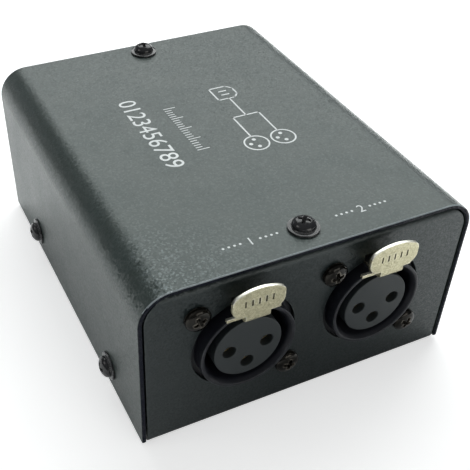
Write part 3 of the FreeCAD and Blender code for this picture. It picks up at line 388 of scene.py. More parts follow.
def blend_colour(tree, factor, first, second):
    """A mix of two colours, each a socket or a tone."""
    node = add(tree, "ShaderNodeMix", data_type="RGBA")
    sockets = [s for s in node.inputs if s.enabled]
    for socket, value in zip(sockets, (factor, first, second)):
        if isinstance(value, bpy.types.NodeSocket):
            tree.links.new(value, socket)
        else:
            socket.default_value = value if isinstance(value, float) else (*value, 1.0)
    return next(s for s in node.outputs if s.enabled)


# Relief of a bump of 1; share of the colour that grain takes at most; its change of the roughness.
RELIEF, GRAIN_SHARE, GRAIN_ROUGH = 0.05 * MM, 0.75, 0.03
# What a finish hands on to its coat or brushed effect.
SKIN_INPUTS = "scale", "stretch", "flecks", "tilt"


def row(*basics, **more):
    """A finish: dark and light tone, least and most roughness, scale, bump, and what else it has.

    Else it may have: metallic, specular level and tint (shine), stretch of brushed metal, share of
    flakes painted bright as glints and their tone, the flakes' tilt, tone of the grain, tone and
    share of worn edges (wear), amount of dust.
    """
    return dict(zip(("dark", "light", "rough", "scale", "bump"), basics), **more)


FINISHES = {
    "cover_coat": row(
        (0.026, 0.036, 0.031), (0.027, 0.041, 0.039), (0.35, 0.4), 1900, 0.8,
        shine=(0.9, 1.0, 0.97), flecks=1.0, tilt=0.1, grain=(0.019, 0.029, 0.027),
        fleck=(0.2, 0.235, 0.24), wear=((0.26, 0.28, 0.3), 0.7), dust=0.03
    ),
    # Painted shade: a near black copy of the cover's coat for the cover's front and rear end faces.
    "cut_edge": row(
        (0.002, 0.003, 0.008), (0.004, 0.006, 0.014), (0.45, 0.6), 2000, 0.5, level=0.12, tilt=0.3
    ),
    # Painted highlight: a lighter copy of the cover's coat, with bright flakes, for the rounding
    # along the top of the cover's front and rear edges.
    "rubbed_edge": row(
        (0.2, 0.235, 0.25), (0.36, 0.41, 0.43), (0.3, 0.45), 2400, 0.5, flecks=1.0, tilt=0.2,
        fleck=(0.5, 0.55, 0.56)
    ),
    # Painted shade: the chassis has the cover's black paint, but its tones are kept darker than the
    # cover's to stand in for the shade on the front panel, which faces away from the lamps.
    "chassis_coat": row(
        (0.006, 0.01, 0.011), (0.009, 0.014, 0.015), (0.36, 0.44), 2300, 0.3, level=0.45,
        shine=(0.92, 1.0, 1.0), flecks=0.6, tilt=0.12, grain=(0.004, 0.008, 0.008),
        fleck=(0.08, 0.1, 0.11), wear=((0.13, 0.15, 0.15), 0.4), dust=0.02
    ),
    "black_screw": row(
        (0.008, 0.008, 0.01), (0.016, 0.016, 0.018), (0.1, 0.22), 1500, 0.1,
        wear=((0.3, 0.3, 0.3), 0.6), dust=0.08
    ),
    "dark_screw": row(
        (0.003, 0.003, 0.0025), (0.014, 0.012, 0.009), (0.05, 0.16), 1400, 0.8, metallic=0.6,
        level=0.3, wear=((0.5, 0.45, 0.38), 0.7)
    ),
    "plain_steel": row((0.48, 0.49, 0.5), (0.6, 0.61, 0.62), (0.25, 0.4), 1200, 0.1, metallic=1.0),
    "housing_plastic": row(
        (0.004, 0.0045, 0.008), (0.008, 0.009, 0.014), (0.4, 0.52), 3600, 0.12, level=0.3,
        wear=((0.09, 0.1, 0.11), 0.7), dust=0.05
    ),
    "insert_plastic": row(
        (0.012, 0.017, 0.019), (0.02, 0.026, 0.028), (0.55, 0.68), 4200, 0.12, dust=0.04
    ),
    "latch_nickel": row(
        (0.44, 0.415, 0.28), (0.64, 0.605, 0.43), (0.4, 0.56), 3000, 0.3, metallic=1.0, tilt=0.22,
        grain=(0.36, 0.34, 0.23), wear=((0.85, 0.84, 0.74), 0.5)
    ),
    # Painted highlight: a bright copy of the latch's nickel for its faces that look up.
    "latch_rim": row((0.84, 0.82, 0.7), (0.95, 0.94, 0.86), (0.3, 0.42), 2400, 0.1, metallic=1.0),
    # Painted shade for the walls and floors of the stamped bars: a dark copy of the latch's metal.
    "stamped": row((0.06, 0.055, 0.035), (0.16, 0.15, 0.1), (0.4, 0.6), 3000, 0.2, metallic=0.7),
    "contact_metal": row(
        (0.7, 0.55, 0.26), (0.8, 0.66, 0.36), (0.22, 0.36), 3000, 0.05, metallic=1.0,
        stretch=(1.0, 1.0, 0.1)
    ),
    "board_mask": row(
        (0.006, 0.09, 0.035), (0.012, 0.13, 0.05), (0.2, 0.32), 900, 0.06, dust=0.08
    ),
    "usb_metal": row(
        (0.6, 0.6, 0.62), (0.74, 0.74, 0.75), (0.16, 0.3), 2400, 0.05, metallic=1.0,
        stretch=(0.06, 1.0, 0.06)
    ),
    "usb_plastic": row((0.02, 0.02, 0.021), (0.032, 0.032, 0.033), (0.5, 0.62), 3600, 0.12),
    "chip_plastic": row(
        (0.016, 0.016, 0.018), (0.028, 0.028, 0.03), (0.55, 0.7), 5200, 0.2, dust=0.06
    ),
    "can_metal": row(
        (0.66, 0.66, 0.68), (0.78, 0.78, 0.79), (0.22, 0.34), 2400, 0.04, metallic=1.0,
        stretch=(1.0, 1.0, 0.08)
    ),
    "ceramic": row((0.38, 0.27, 0.17), (0.47, 0.35, 0.23), (0.4, 0.55), 5200, 0.1),
    "resistor": row((0.02, 0.02, 0.022), (0.04, 0.04, 0.043), (0.35, 0.5), 5200, 0.08),
    "ink": row((0.74, 0.78, 0.78), (0.9, 0.93, 0.93), (0.45, 0.6), 2600, 0.3),
    "tin": row((0.6, 0.6, 0.6), (0.75, 0.75, 0.74), (0.25, 0.42), 3000, 0.12, metallic=1.0),
}


def finish(name):
    """The node material of one finish; made on first use."""
    label = name + "_finish"
    material = bpy.data.materials.get(label)
    if material:
        return material
    spec = FINISHES[name]
    material = bpy.data.materials.new(label)
    material.use_nodes = True
    tree = material.node_tree
    principled = next(n for n in tree.nodes if n.type == "BSDF_PRINCIPLED").inputs
    principled["Metallic"].default_value = spec.get("metallic", 0.0)
    principled["Specular IOR Level"].default_value = spec.get("level", 0.5)
    principled["Specular Tint"].default_value = (*spec.get("shine", (1.0, 1.0, 1.0)), 1.0)
    kind, mottle, height = "coat", "Mottle", "Height"
    if "stretch" in spec:
        kind, mottle, height = "brushed", "Cloud", "Scratches"
    skin = effect(tree, kind, **{key: spec[key] for key in SKIN_INPUTS if key in spec})
    mottle, height = skin[mottle], skin[height]
    colour = blend_colour(tree, mottle, spec["dark"], spec["light"])
    rough = ranged(tree, mottle, 0.0, 1.0, *spec["rough"])
    if "grain" in spec:
        share = ranged(tree, skin["Grain"], 0.0, 1.0, 0.0, GRAIN_SHARE)
        colour = blend_colour(tree, share, colour, spec["grain"])
        change = ranged(tree, skin["Grain"], 0.0, 1.0, -GRAIN_ROUGH, GRAIN_ROUGH)
        rough = maths(tree, "ADD", rough, change)
    # Painted glints: the bright flakes take their own light tone.
    if "fleck" in spec:
        colour = blend_colour(tree, skin["Flecks"], colour, spec["fleck"])
    if "wear" in spec:
        tone, share = spec["wear"]
        colour = blend_colour(tree, times(tree, effect(tree, "wear")["Mask"], share), colour, tone)
    if "dust" in spec:
        dust = effect(tree, "dust", amount=spec["dust"])["Mask"]
        colour = blend_colour(tree, dust, colour, DUST_TONE)
        rough = maths(tree, "ADD", rough, times(tree, dust, DUST_ROUGH), clamp=True)
    bump = add(tree, "ShaderNodeBump", {"Height": height, "Distance": spec["bump"] * RELIEF})
    if "tilt" in spec:
        tree.links.new(skin["Normal"], bump.inputs["Normal"])
    tree.links.new(colour, principled["Base Color"])
    tree.links.new(rough, principled["Roughness"])
    tree.links.new(bump.outputs["Normal"], principled["Normal"])
    return material


# Meshes.


def settings(context):
    return context.scene.box_look


def put(name, data):
    """A new object in the scene."""
    made = bpy.data.objects.new(name, data)
    bpy.context.scene.collection.objects.link(made)
    return made


def drawn_mesh(item):
    """The mesh that an object's modifiers or letters give."""
    bpy.context.view_layer.update()
    graph = bpy.context.evaluated_depsgraph_get()
    return bpy.data.meshes.new_from_object(item.evaluated_get(graph))


def to_mesh(form, name):
    """Turns a working form into a mesh."""
    mesh = bpy.data.meshes.new(name)
    form.to_mesh(mesh)
    form.free()
    return mesh


def closed_mesh(form, name):
    """Turns a closed form into a mesh, with its faces turned outwards."""
    bmesh.ops.recalc_face_normals(form, faces=form.faces)
    return to_mesh(form, name)


def shade(mesh):
    """Gives a mesh smooth faces and sharp corners."""
    mesh.shade_smooth()
    mesh.set_sharp_from_angle(angle=SMOOTH)
    return mesh


def save(form, name):
    """Turns a closed form into a shaded mesh."""
    mesh = closed_mesh(form, name)
    for attribute in ("custom_normal", "sharp_edge", "sharp_face"):
        if attribute in mesh.attributes:
            mesh.attributes.remove(mesh.attributes[attribute])
    return shade(mesh)


def piece(node, label, mesh, finishes=None, instead=True, matrix=None):
    """Puts a mesh in the scene as a piece, on the body and in the slot of a CAD node."""
    made = put(node + label, mesh)
    if not mesh.materials:
        for name in finishes or [SLOT_OF[node]]:
            mesh.materials.append(finish(name))
    if matrix is not None:
        made.matrix_world = matrix
    made.modifiers.new("Even normals", "WEIGHTED_NORMAL").keep_sharp = True
    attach(made, BODY_OF[node])
    if instead:
        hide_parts(node)
    return made


def node_form(node):
    """A CAD node's mesh, welded, with its flat faces merged."""
    form = bmesh.new()
    form.from_mesh(frame["nodes"][node].data)
    bmesh.ops.remove_doubles(form, verts=form.verts, dist=WELD)
    bmesh.ops.dissolve_limit(form, angle_limit=FLAT, verts=form.verts, edges=form.edges)
    return form


def round_edges(form, width, segments):
    """Rounds the corners of a form."""
    edges = [e for e in form.edges if len(e.link_faces) == 2 and e.calc_face_angle() > CORNER]
    shape = dict(offset=width, segments=segments, profile=0.5, loop_slide=True)
    bmesh.ops.bevel(form, geom=edges, affect="EDGES", **shape)
    bmesh.ops.triangulate(form, faces=[f for f in form.faces if len(f.verts) > 4])
    return form


def rounded_node(node, width, segments, label="_form", cutter=None, marks=()):
    """A piece that stands for a CAD node, with rounded edges; marks give faces another finish."""
    form = round_edges(node_form(node), width, segments)
    finishes = [SLOT_OF[node]]
    for wanted, other in marks:
        finishes.append(other)
        for face in form.faces:
            if wanted(face.calc_center_median(), face.normal):
                face.material_index = len(finishes) - 1
    mesh = save(form, node + label)
    if cutter:
        mesh = carved(mesh, cutter)
    return piece(node, label, mesh, finishes)


def small_node(node, edges, marks=()):
    """A piece inside, with fine edges of few faces."""
    return rounded_node(node, edges.small, edges.small_segments, marks=marks)


def carved(mesh, cutter):
    """A mesh without the space of a cutter mesh."""
    target, tool = put("carved", mesh), put("cutter", cutter)
    change = target.modifiers.new("Cut", "BOOLEAN")
    change.object = tool
    change.operation = "DIFFERENCE"
    change.solver = "EXACT"
    change.use_self = True
    made = drawn_mesh(target)
    name = mesh.name
    for item in (target, tool):
        bpy.data.objects.remove(item)
    for data in (mesh, cutter):
        bpy.data.meshes.remove(data)
    made.name = name
    return shade(made)


def on_circle(middle, radius, step, count):
    """A point on a circle, after some of a count of steps."""
    turn = 2 * math.pi * step / count
    return middle[0] + radius * math.cos(turn), middle[1] + radius * math.sin(turn)


def join_rings(form, rings):
    """Faces between rings of points; a ring may be one point."""
    count = max(len(ring) for ring in rings)
    for upper, lower in zip(rings, rings[1:]):
        for step in range(count):
            after = (step + 1) % count
            if len(upper) == 1:
                form.faces.new((upper[0], lower[step], lower[after]))
            elif len(lower) == 1:
                form.faces.new((upper[step], lower[0], upper[after]))
            else:
                form.faces.new((upper[step], lower[step], lower[after], upper[after]))


def lathe(rows, around, radius_at):
    """Turns rows of radius and height into a closed solid; radius_at gives a radius of None."""
    form = bmesh.new()
    rings = []
    for radius, height in rows:
        ring = []
        for step in range(around if radius != 0 else 1):
            turn = 2 * math.pi * step / around
            reach = radius_at(height, turn) if radius is None else radius
            ring.append(form.verts.new((*on_circle((0, 0), reach, step, around), height)))
        rings.append(ring)
    join_rings(form, rings)
    return form


def shares(size, parts, z):
    """A rectangle for a frustum: parts of a size in X and Y, at a height."""
    return size[0] * parts[0], size[1] * parts[1], z


def frustum(form, low, high, matrix):
    """A block between two rectangles, each (half x, half y, z), moved by a matrix."""
    corners = []
    for half_x, half_y, z in (low, high):
        for sx, sy in ((-1, -1), (1, -1), (1, 1), (-1, 1)):
            corners.append(form.verts.new(matrix @ Vector((sx * half_x, sy * half_y, z))))
    form.faces.new(corners[3::-1])
    form.faces.new(corners[4:])
    for i in range(4):
        after = (i + 1) % 4
        form.faces.new((corners[i], corners[after], corners[after + 4], corners[i + 4]))


# Cross recess: turns of its slots, half length and half width as shares of the whole ones, at the
# floor and above the head, and how far above.
RECESS_TURNS, RECESS_ABOVE = (math.radians(20), math.radians(110)), 0.4 * MM
RECESS_FLOOR, RECESS_MOUTH = (0.16, 0.3), (0.56, 0.56)


def cross_recess(screws, top):
    """The space of a cross recess under a head's top: two tapered slots."""
    form = bmesh.new()
    size = screws.recess_length, screws.recess_width
    floor = shares(size, RECESS_FLOOR, top - screws.recess_depth)
    mouth = shares(size, RECESS_MOUTH, top + RECESS_ABOVE)
    for turn in RECESS_TURNS:
        frustum(form, floor, mouth, Matrix.Rotation(turn, 4, "Z"))
    return closed_mesh(form, "recess")


# Screws: points around, steps over the dome, rows in a turn of thread, plain length under the head
# and at the tip, and the tip's tapered part: length and two shares of the core.
AROUND, DOME_STEPS, THREAD_ROWS = 32, 12, 5
PLAIN_TOP, PLAIN_TIP, TAPER, TIP_SHARES = 0.4 * MM, 0.6 * MM, 0.2 * MM, (0.9, 0.6)
# Share of a soft edge where a washer's rim is bent once more.
RIM_BEND = 0.3


def screw_mesh(screws, name, radius, height, wall, shank, washer=False):
    """A domed head on a threaded shank; the seat of the head is at Z = 0."""
    soft = screws.soft_edge
    foot = screws.washer_thick if washer else 0.0
    rows = [(0, foot + height)]
    for step in range(1, DOME_STEPS + 1):
        turn = math.pi / 2 * step / DOME_STEPS
        rows.append((radius * math.sin(turn), foot + wall + (height - wall) * math.cos(turn)))
    if washer:
        rim = screws.washer_radius
        rows += [
            (radius, foot + soft),
            (radius + soft, foot),
            (rim - soft, foot),
            (rim - RIM_BEND * soft, foot - RIM_BEND * soft),
            (rim, foot - soft),
            (rim, soft),
            (rim - soft, 0),
        ]
    else:
        rows += [(radius, soft), (radius - soft, 0)]
    core = screws.thread_radius - screws.thread_depth
    rows += [(core + soft, 0), (core, -soft)]
    start, end, pitch = -PLAIN_TOP, -shank + PLAIN_TIP, screws.thread_pitch
    count = int((start - end) / pitch * THREAD_ROWS)
    rows += [(None, start + (end - start) * step / count) for step in range(count + 1)]
    rows += [(core * TIP_SHARES[0], end - TAPER), (core * TIP_SHARES[1], -shank), (0, -shank)]

    def thread(z, turn):
        phase = (z / pitch + turn / (2 * math.pi)) % 1.0
        ends = min((start - z) / pitch, (z - end) / pitch, 1.0)
        return core + screws.thread_depth * (1 - abs(2 * phase - 1)) * max(ends, 0.0)

    mesh = save(lathe(rows, AROUND, thread), name)
    return carved(mesh, cross_recess(screws, foot + height))


def tube(points, radius, around=10):
    """A round wire along points, with closed ends."""
    form = bmesh.new()
    rings = []
    side = None
    for i, spot in enumerate(points):
        ahead = (points[min(i + 1, len(points) - 1)] - points[max(i - 1, 0)]).normalized()
        side = ahead.orthogonal() if side is None else side - ahead * side.dot(ahead)
        side.normalize()
        other = ahead.cross(side)
        ring = []
        for step in range(around):
            across, up = on_circle((0, 0), radius, step, around)
            ring.append(form.verts.new(spot + side * across + other * up))
        rings.append(ring)
    join_rings(form, rings)
    form.faces.new(rings[0])
    form.faces.new(rings[-1][::-1])
    return form


# Print on the cover: font size for a digit's height, steps in a digit's curves, and points around
# a ring and a dot.
FONT_SIZE, FONT_STEPS, RING_POINTS, DOT_POINTS = 1.38, 6, 40, 16


class Ink:
    """Draws print in a plane of its own: U along the reading direction, V up from the line."""

    def __init__(self, low, high):
        self.form = bmesh.new()
        self.heights = low, high
        self.to_cover = None

    def slab(self, outline):
        """A flat patch with an outline in U and V."""
        new, count = self.form.faces.new, len(outline)
        bottom, top = (
            [self.form.verts.new(self.to_cover(u, v, z)) for u, v in outline] for z in self.heights
        )
        new(bottom[::-1])
        new(top)
        for i in range(count):
            after = (i + 1) % count
            new((bottom[i], bottom[after], top[after], top[i]))

    def line(self, start, end, width):
        """A line with square ends."""
        start, end = Vector(start), Vector(end)
        along = (end - start).normalized() * width / 2
        across = Vector((-along.y, along.x))
        a, b = start - along, end + along
        self.slab([a - across, b - across, b + across, a + across])

    def dot(self, middle, radius):
        """A round dot."""
        self.slab([on_circle(middle, radius, i, DOT_POINTS) for i in range(DOT_POINTS)])

    def ring(self, middle, radius, width):
        """A ring, in short pieces."""
        for i in range(RING_POINTS):
            corners = ((radius, i), (radius, i + 1), (radius - width, i + 1), (radius - width, i))
            self.slab([on_circle(middle, r, step, RING_POINTS) for r, step in corners])

    def digits(self, text, size, centred=False):
        """Plain digits, from their lower left corner, or centred above it."""
        curve = bpy.data.curves.new("digits", "FONT")
        curve.body = text
        curve.size = size * FONT_SIZE
        curve.resolution_u = FONT_STEPS
        item = put("digits", curve)
        flat = drawn_mesh(item)
        left = min(v.co.x for v in flat.vertices)
        if centred:
            left = (left + max(v.co.x for v in flat.vertices)) / 2
        work = bmesh.new()
        work.from_mesh(flat)
        bmesh.ops.remove_doubles(work, verts=work.verts, dist=WELD)
        grown = bmesh.ops.extrude_face_region(work, geom=work.faces[:])
        raised = {v for v in grown["geom"] if isinstance(v, bmesh.types.BMVert)}
        for vert in work.verts:
            vert.co = self.to_cover(vert.co.x - left, vert.co.y, self.heights[vert in raised])
        made = to_mesh(work, "digits")
        self.form.from_mesh(made)
        bpy.data.objects.remove(item)
        for data in (flat, made):
            bpy.data.meshes.remove(data)


# Operators.


class BOX_OT_enclosure(bpy.types.Operator):
    """Builds the cover and the chassis, with rounded, coated edges; the cover's end faces get
    painted shade and the rounding along their top a painted highlight
    """

    bl_idname = "box.enclosure"
    bl_label = "Build Enclosure"

    def execute(self, context):
        edges = settings(context).edges
        low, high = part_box("cover")

        def at_end(spot):
            return min(spot.y - low.y, high.y - spot.y)

        # Painted shade on the end faces of the cover, and a painted highlight on the rounding along
        # their top.
        marks = [
            (lambda spot, out: at_end(spot) < edges.cover and abs(out.y) > FACING, "cut_edge"),
            (lambda spot, out: at_end(spot) < edges.cover and out.z > FACING, "rubbed_edge"),
        ]
        rounded_node("cover", edges.cover, edges.segments, "_sheet", marks=marks)
        rounded_node("chassis", edges.chassis, edges.segments, "_sheet")
        return {"FINISHED"}


# Turns from a screw that points up to one on each side, and of one screw's recess to the next's.
SIDES = {
    "top": Matrix.Identity(4),
    "left": Matrix.Rotation(-math.pi / 2, 4, "Y"),
    "right": Matrix.Rotation(math.pi / 2, 4, "Y"),
    "front": Matrix.Rotation(math.pi / 2, 4, "X"),
}
SPIN = math.radians(37)


class BOX_OT_screws(bpy.types.Operator):
    """Builds the domed cover screws and the pan head socket screws, with recess and thread"""

    bl_idname = "box.screws"
    bl_label = "Build Screws"

    def execute(self, context):
        screws = settings(context).screws
        dome = screws.dome_radius, screws.dome_height, screws.dome_wall, screws.cover_shank
        domed = screw_mesh(screws, "domed_screw", *dome, washer=True)
        pan = screws.pan_radius, screws.pan_height, screws.pan_wall, screws.socket_shank
        pan = screw_mesh(screws, "pan_screw", *pan)
        names = sorted(n for n in frame["nodes"] if "screw" in n and n != "board_screws")
        for number, node in enumerate(names):
            side = next((s for s in ("top", "left", "right") if s in node.split("_")), "front")
            mesh, height = domed, screws.dome_height + screws.washer_thick
            if side == "front":
                mesh, height = pan, screws.pan_height
            low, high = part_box(node)
            out = SIDES[side] @ Vector((0, 0, 1))
            reach = Vector(abs(c) for c in out).dot(high - low) / 2 - height
            spin = Matrix.Rotation(SPIN * number, 4, "Z")
            matrix = Matrix.Translation((low + high) / 2 + out * reach) @ SIDES[side] @ spin
            piece(node, "_form", mesh, matrix=matrix)
        return {"FINISHED"}


# Stamped bars: their floor against their mouth, and the depth to which the painted shade in them
# reaches against their depth.
BAR_FLOOR, STAMP_REACH = (0.6, 0.9), 1.2
# Springs: points along the coil, and how much closer the turns lie at its ends.
COIL_POINTS, COIL_EASE = 120, 0.06


class BOX_OT_sockets(bpy.types.Operator):
    """Builds housings, inserts, latches with grip bars, springs, contacts and latch pins"""

    bl_idname = "box.sockets"
    bl_label = "Build Sockets"

    def execute(self, context):
        look = settings(context)
        edges, sockets = look.edges, look.sockets
        for name in SOCKETS:
            rounded_node(name + "_housing", edges.housing, edges.segments)
            rounded_node(name + "_insert", edges.insert, edges.segments)
            node = name + "_latch"
            # Painted highlight on the faces of the latch that look up.
            rim = [(lambda spot, out: out.z > LATCH_FACING, "latch_rim")]
            bars = self.bars(node, sockets)
            latch = rounded_node(node, edges.latch, edges.segments, cutter=bars, marks=rim)
            self.darken(latch, node, sockets)
            small_node(name + "_latch_pin", edges)
            self.spring(name, sockets)
            for count in (1, 2, 3):
                small_node(f"{name}_contact_{count}", edges)
        return {"FINISHED"}

    def stamp_place(self, node, sockets):
        """Middle of the stamped bars on the tab's front face."""
        low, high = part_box(node)
        return Vector(((low.x + high.x) / 2, low.y, high.z - sockets.mark_drop))

    def darken(self, latch, node, sockets):
        """Paints shade on the walls and floors of the stamped bars, with a dark copy of the latch's
        metal.
        """
        latch.data.materials.append(finish("stamped"))
        stamped = len(latch.data.materials) - 1
        place = self.stamp_place(node, sockets)
        half = sockets.mark_count * sockets.mark_pitch / 2
        for face in latch.data.polygons:
            off = face.center - place
            inside = abs(off.x) < half and abs(off.z) < sockets.mark_height
            if inside and WELD < off.y < STAMP_REACH * sockets.mark_depth:
                face.material_index = stamped

    def bars(self, node, sockets):
        """Stamped grip bars in the tab's front face."""
        place = self.stamp_place(node, sockets)
        form = bmesh.new()
        depth, half = sockets.mark_depth, (sockets.mark_width / 2, sockets.mark_height / 2)
        floor = shares(half, BAR_FLOOR, -depth)
        for i in range(sockets.mark_count):
            step = Vector(((i - (sockets.mark_count - 1) / 2) * sockets.mark_pitch, 0, 0))
            frustum(form, floor, (*half, depth), Matrix.Translation(place + step) @ SIDES["front"])
        return closed_mesh(form, "bars")

    def spring(self, name, sockets):
        """A coil in the place of the plain spring."""
        node = name + "_latch_spring"
        low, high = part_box(node)
        middle = (low + high) / 2
        rise = high.z - low.z - 2 * sockets.spring_wire
        points = []
        for i in range(COIL_POINTS + 1):
            share = i / COIL_POINTS
            x, y = on_circle(middle, sockets.spring_radius, sockets.spring_turns * share, 1)
            ease = share - math.sin(2 * math.pi * share) * COIL_EASE
            points.append(Vector((x, y, low.z + sockets.spring_wire + rise * ease)))
        mesh = save(tube(points, sockets.spring_wire), node + "_coil")
        made = piece(node, "_coil", mesh)
        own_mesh(made)


# Print, all on the cover's top: corners of the diagram, the digits and the scale, and the middles
# and the base line of the socket numbers.
DIAGRAM, DIGITS, SCALE = (3.4 * MM, 18.6 * MM), (-16.9 * MM, 20.6 * MM), (-7.6 * MM, 13.0 * MM)
NUMBERS, NUMBER_BASE = {"1": -12.1 * MM, "2": 14.7 * MM}, -42.7 * MM
# Diagram: middle line; inlet's left end, half side, cut corners' share of it and two contacts; the
# fork; the sockets' middles along and beside the line, their radius, their holes' place and size.
LINE, INLET, INLET_HALF, INLET_CUT = 6.9 * MM, 1.0 * MM, 3.0 * MM, 0.55
CONTACT_OFF, CONTACT_FROM, CONTACT_TO = 0.9 * MM, -1.0 * MM, 0.8 * MM
FORK, PLUG, PLUG_OFF, PLUG_RADIUS = 16.0 * MM, 28.4 * MM, 3.6 * MM, 3.2 * MM
HOLE_SHARE, HOLE_RADIUS = 0.48, 0.5 * MM
# Scale: ticks and one long tick in how many, long, short, start and line width.
TICK_COUNT, TICK_LONG_EACH = 21, 5
TICK_LONG, TICK_SHORT, TICK_START, TICK_LINE = 3.1 * MM, 1.7 * MM, 0.2 * MM, 0.26 * MM
# Dots on either side of a socket number: count, first, pitch, height and radius.
DOT_COUNT, DOT_FIRST, DOT_PITCH, DOT_HEIGHT, DOT_RADIUS = 4, 2.3 * MM, 1.3 * MM, 1.15 * MM, 0.3 * MM


class BOX_OT_print(bpy.types.Operator):
    """Prints generic marks on the cover: digits, ticks, socket numbers and a signal diagram"""

    bl_idname = "box.print"
    bl_label = "Print Cover"

    def execute(self, context):
        look = settings(context).ink
        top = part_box("cover")[1].z
        ink = Ink(top - look.ink_sink, top + look.ink_height)
        self.diagram(ink, look.line_width)
        ink.to_cover = self.lengthwise(*DIGITS)
        ink.digits("0123456789", look.digit_height)
        self.scale(ink)
        self.socket_marks(ink, look.label_height)
        piece("cover", "_print", save(ink.form, "cover_print"), ["ink"], instead=False)
        return {"FINISHED"}

    def lengthwise(self, x, y):
        """Reading towards the front, with letters' tops to the right, from a corner at x, y."""
        return lambda u, v, z: Vector((x + v, y - u, z))

    def diagram(self, ink, width):
        """A square inlet wired to two round sockets with three holes."""
        ink.to_cover = self.lengthwise(*DIAGRAM)
        half, right = INLET_HALF, INLET + 2 * INLET_HALF
        corners = [
            (INLET, LINE - half),
            (right, LINE - half),
            (right, LINE + half * INLET_CUT),
            (INLET + 1.5 * half, LINE + half),
            (INLET + 0.5 * half, LINE + half),
            (INLET, LINE + half * INLET_CUT),
        ]
        for a, b in zip(corners, corners[1:] + corners[:1]):
            ink.line(a, b, width)
        for step in (-1, 1):
            across = INLET + half + step * CONTACT_OFF
            ink.line((across, LINE + CONTACT_FROM), (across, LINE + CONTACT_TO), width)
        ink.line((right, LINE), (FORK, LINE), width)
        for way in (-1, 1):
            level = LINE + way * PLUG_OFF
            ink.line((FORK, LINE), (FORK, level), width)
            ink.line((FORK, level), (PLUG - PLUG_RADIUS, level), width)
            ink.ring((PLUG, level), PLUG_RADIUS, width)
            for quarter in (-2, -1, 0):
                ink.dot(on_circle((PLUG, level), PLUG_RADIUS * HOLE_SHARE, quarter, 4), HOLE_RADIUS)

    def scale(self, ink):
        """A scale of ticks, a millimetre apart."""
        ink.to_cover = self.lengthwise(*SCALE)
        for tick in range(TICK_COUNT):
            end = TICK_SHORT if tick % TICK_LONG_EACH else TICK_LONG
            ink.line((tick * MM, TICK_START), (tick * MM, end), TICK_LINE)

    def socket_marks(self, ink, height):
        """A number above each socket between two rows of dots."""
        for number, middle in NUMBERS.items():
            ink.to_cover = lambda u, v, z: Vector((middle + u, NUMBER_BASE + v, z))
            ink.digits(number, height, centred=True)
            for way in (-1, 1):
                for dot in range(DOT_COUNT):
                    ink.dot((way * (DOT_FIRST + DOT_PITCH * dot), DOT_HEIGHT), DOT_RADIUS)


# Electronics: how far the leads reach in from a chip's sides, how much rounder the cans are, and
# the small parts in a row, their length, and their body between its tinned ends.
LEAD_REACH, CAN_EDGE = 1.0 * MM, 5
ROW_COUNT, ROW_LENGTH, ROW_BODY = 6, 2.0 * MM, (0.4 * MM, 1.6 * MM)
PLAIN = "circuit_board", "spacers", "board_screws", "usb_shell", "usb_insulator", "usb_contacts"
CHIPS = "microcontroller", "usb_bridge_chip", "line_driver_1", "line_driver_2", "voltage_regulator"


class BOX_OT_electronics(bpy.types.Operator):
    """Builds the circuit board, what it carries and the rear USB socket"""

    bl_idname = "box.electronics"
    bl_label = "Build Electronics"

    def execute(self, context):
        edges = settings(context).edges
        for node in PLAIN:
            small_node(node, edges)
        for node in CHIPS:
            low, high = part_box(node)
            axes = (0, 1) if node == "microcontroller" else (1,)

            def lead(spot, out):
                return any(not low[a] + LEAD_REACH < spot[a] < high[a] - LEAD_REACH for a in axes)

            small_node(node, edges, [(lead, "tin")])
        for node in ("crystal", "capacitor_1", "capacitor_2"):
            rounded_node(node, CAN_EDGE * edges.small, edges.segments)
        for node in ("resistors", "ceramic_capacitors"):
            low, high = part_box(node)
            pitch = (high.y - low.y - ROW_LENGTH) / (ROW_COUNT - 1)

            def capped(spot, out):
                return not ROW_BODY[0] <= (spot.y - low.y) % pitch <= ROW_BODY[1]

            small_node(node, edges, [(capped, "tin")])
        return {"FINISHED"}


# World: the height of a direction from dark to light, what the light is multiplied by there, and
# its colour.
SKY_RANGE, SKY_LIGHT, SKY_COLOUR = (-0.3, 0.9), (0.5, 1.15), (0.93, 0.97, 1.0, 1.0)
# Floor: half its side, how far it lies under the box, scale of its noise and its tones.
FLOOR_HALF, FLOOR_DROP, FLOOR_NOISE, FLOOR_TONES = 1.6, 0.05 * MM, 40.0, (0.82, 0.86)
WHITE = (1, 1, 1, 1)
# Soft lamps: name, place, aim, two sides, power, colour.
LAMPS = (
    ("window", (0.42, 0.68, 0.79), (0.0, 0.0, 0.04), (1.3, 0.9), 10.3, (0.97, 1.0, 0.99)),
    ("rear", (-0.45, 1.1, 0.28), (-0.04, 0.0, 0.03), (0.5, 0.3), 0.28, (0.92, 0.97, 1.0)),
    ("left", (-0.8, 0.1, 0.7), (-0.04, 0.0, 0.02), (0.4, 0.4), 1.0, (1.0, 0.98, 0.95)),
    ("front", (0.22, -0.75, 0.25), (-0.01, -0.05, 0.03), (0.5, 0.3), 1.2, (1.0, 0.98, 0.93)),
)
# Camera: width of its sensor in millimetres, and the nearest and farthest distance that it sees.
SENSOR, CLIP = 36.0, (0.01, 10.0)


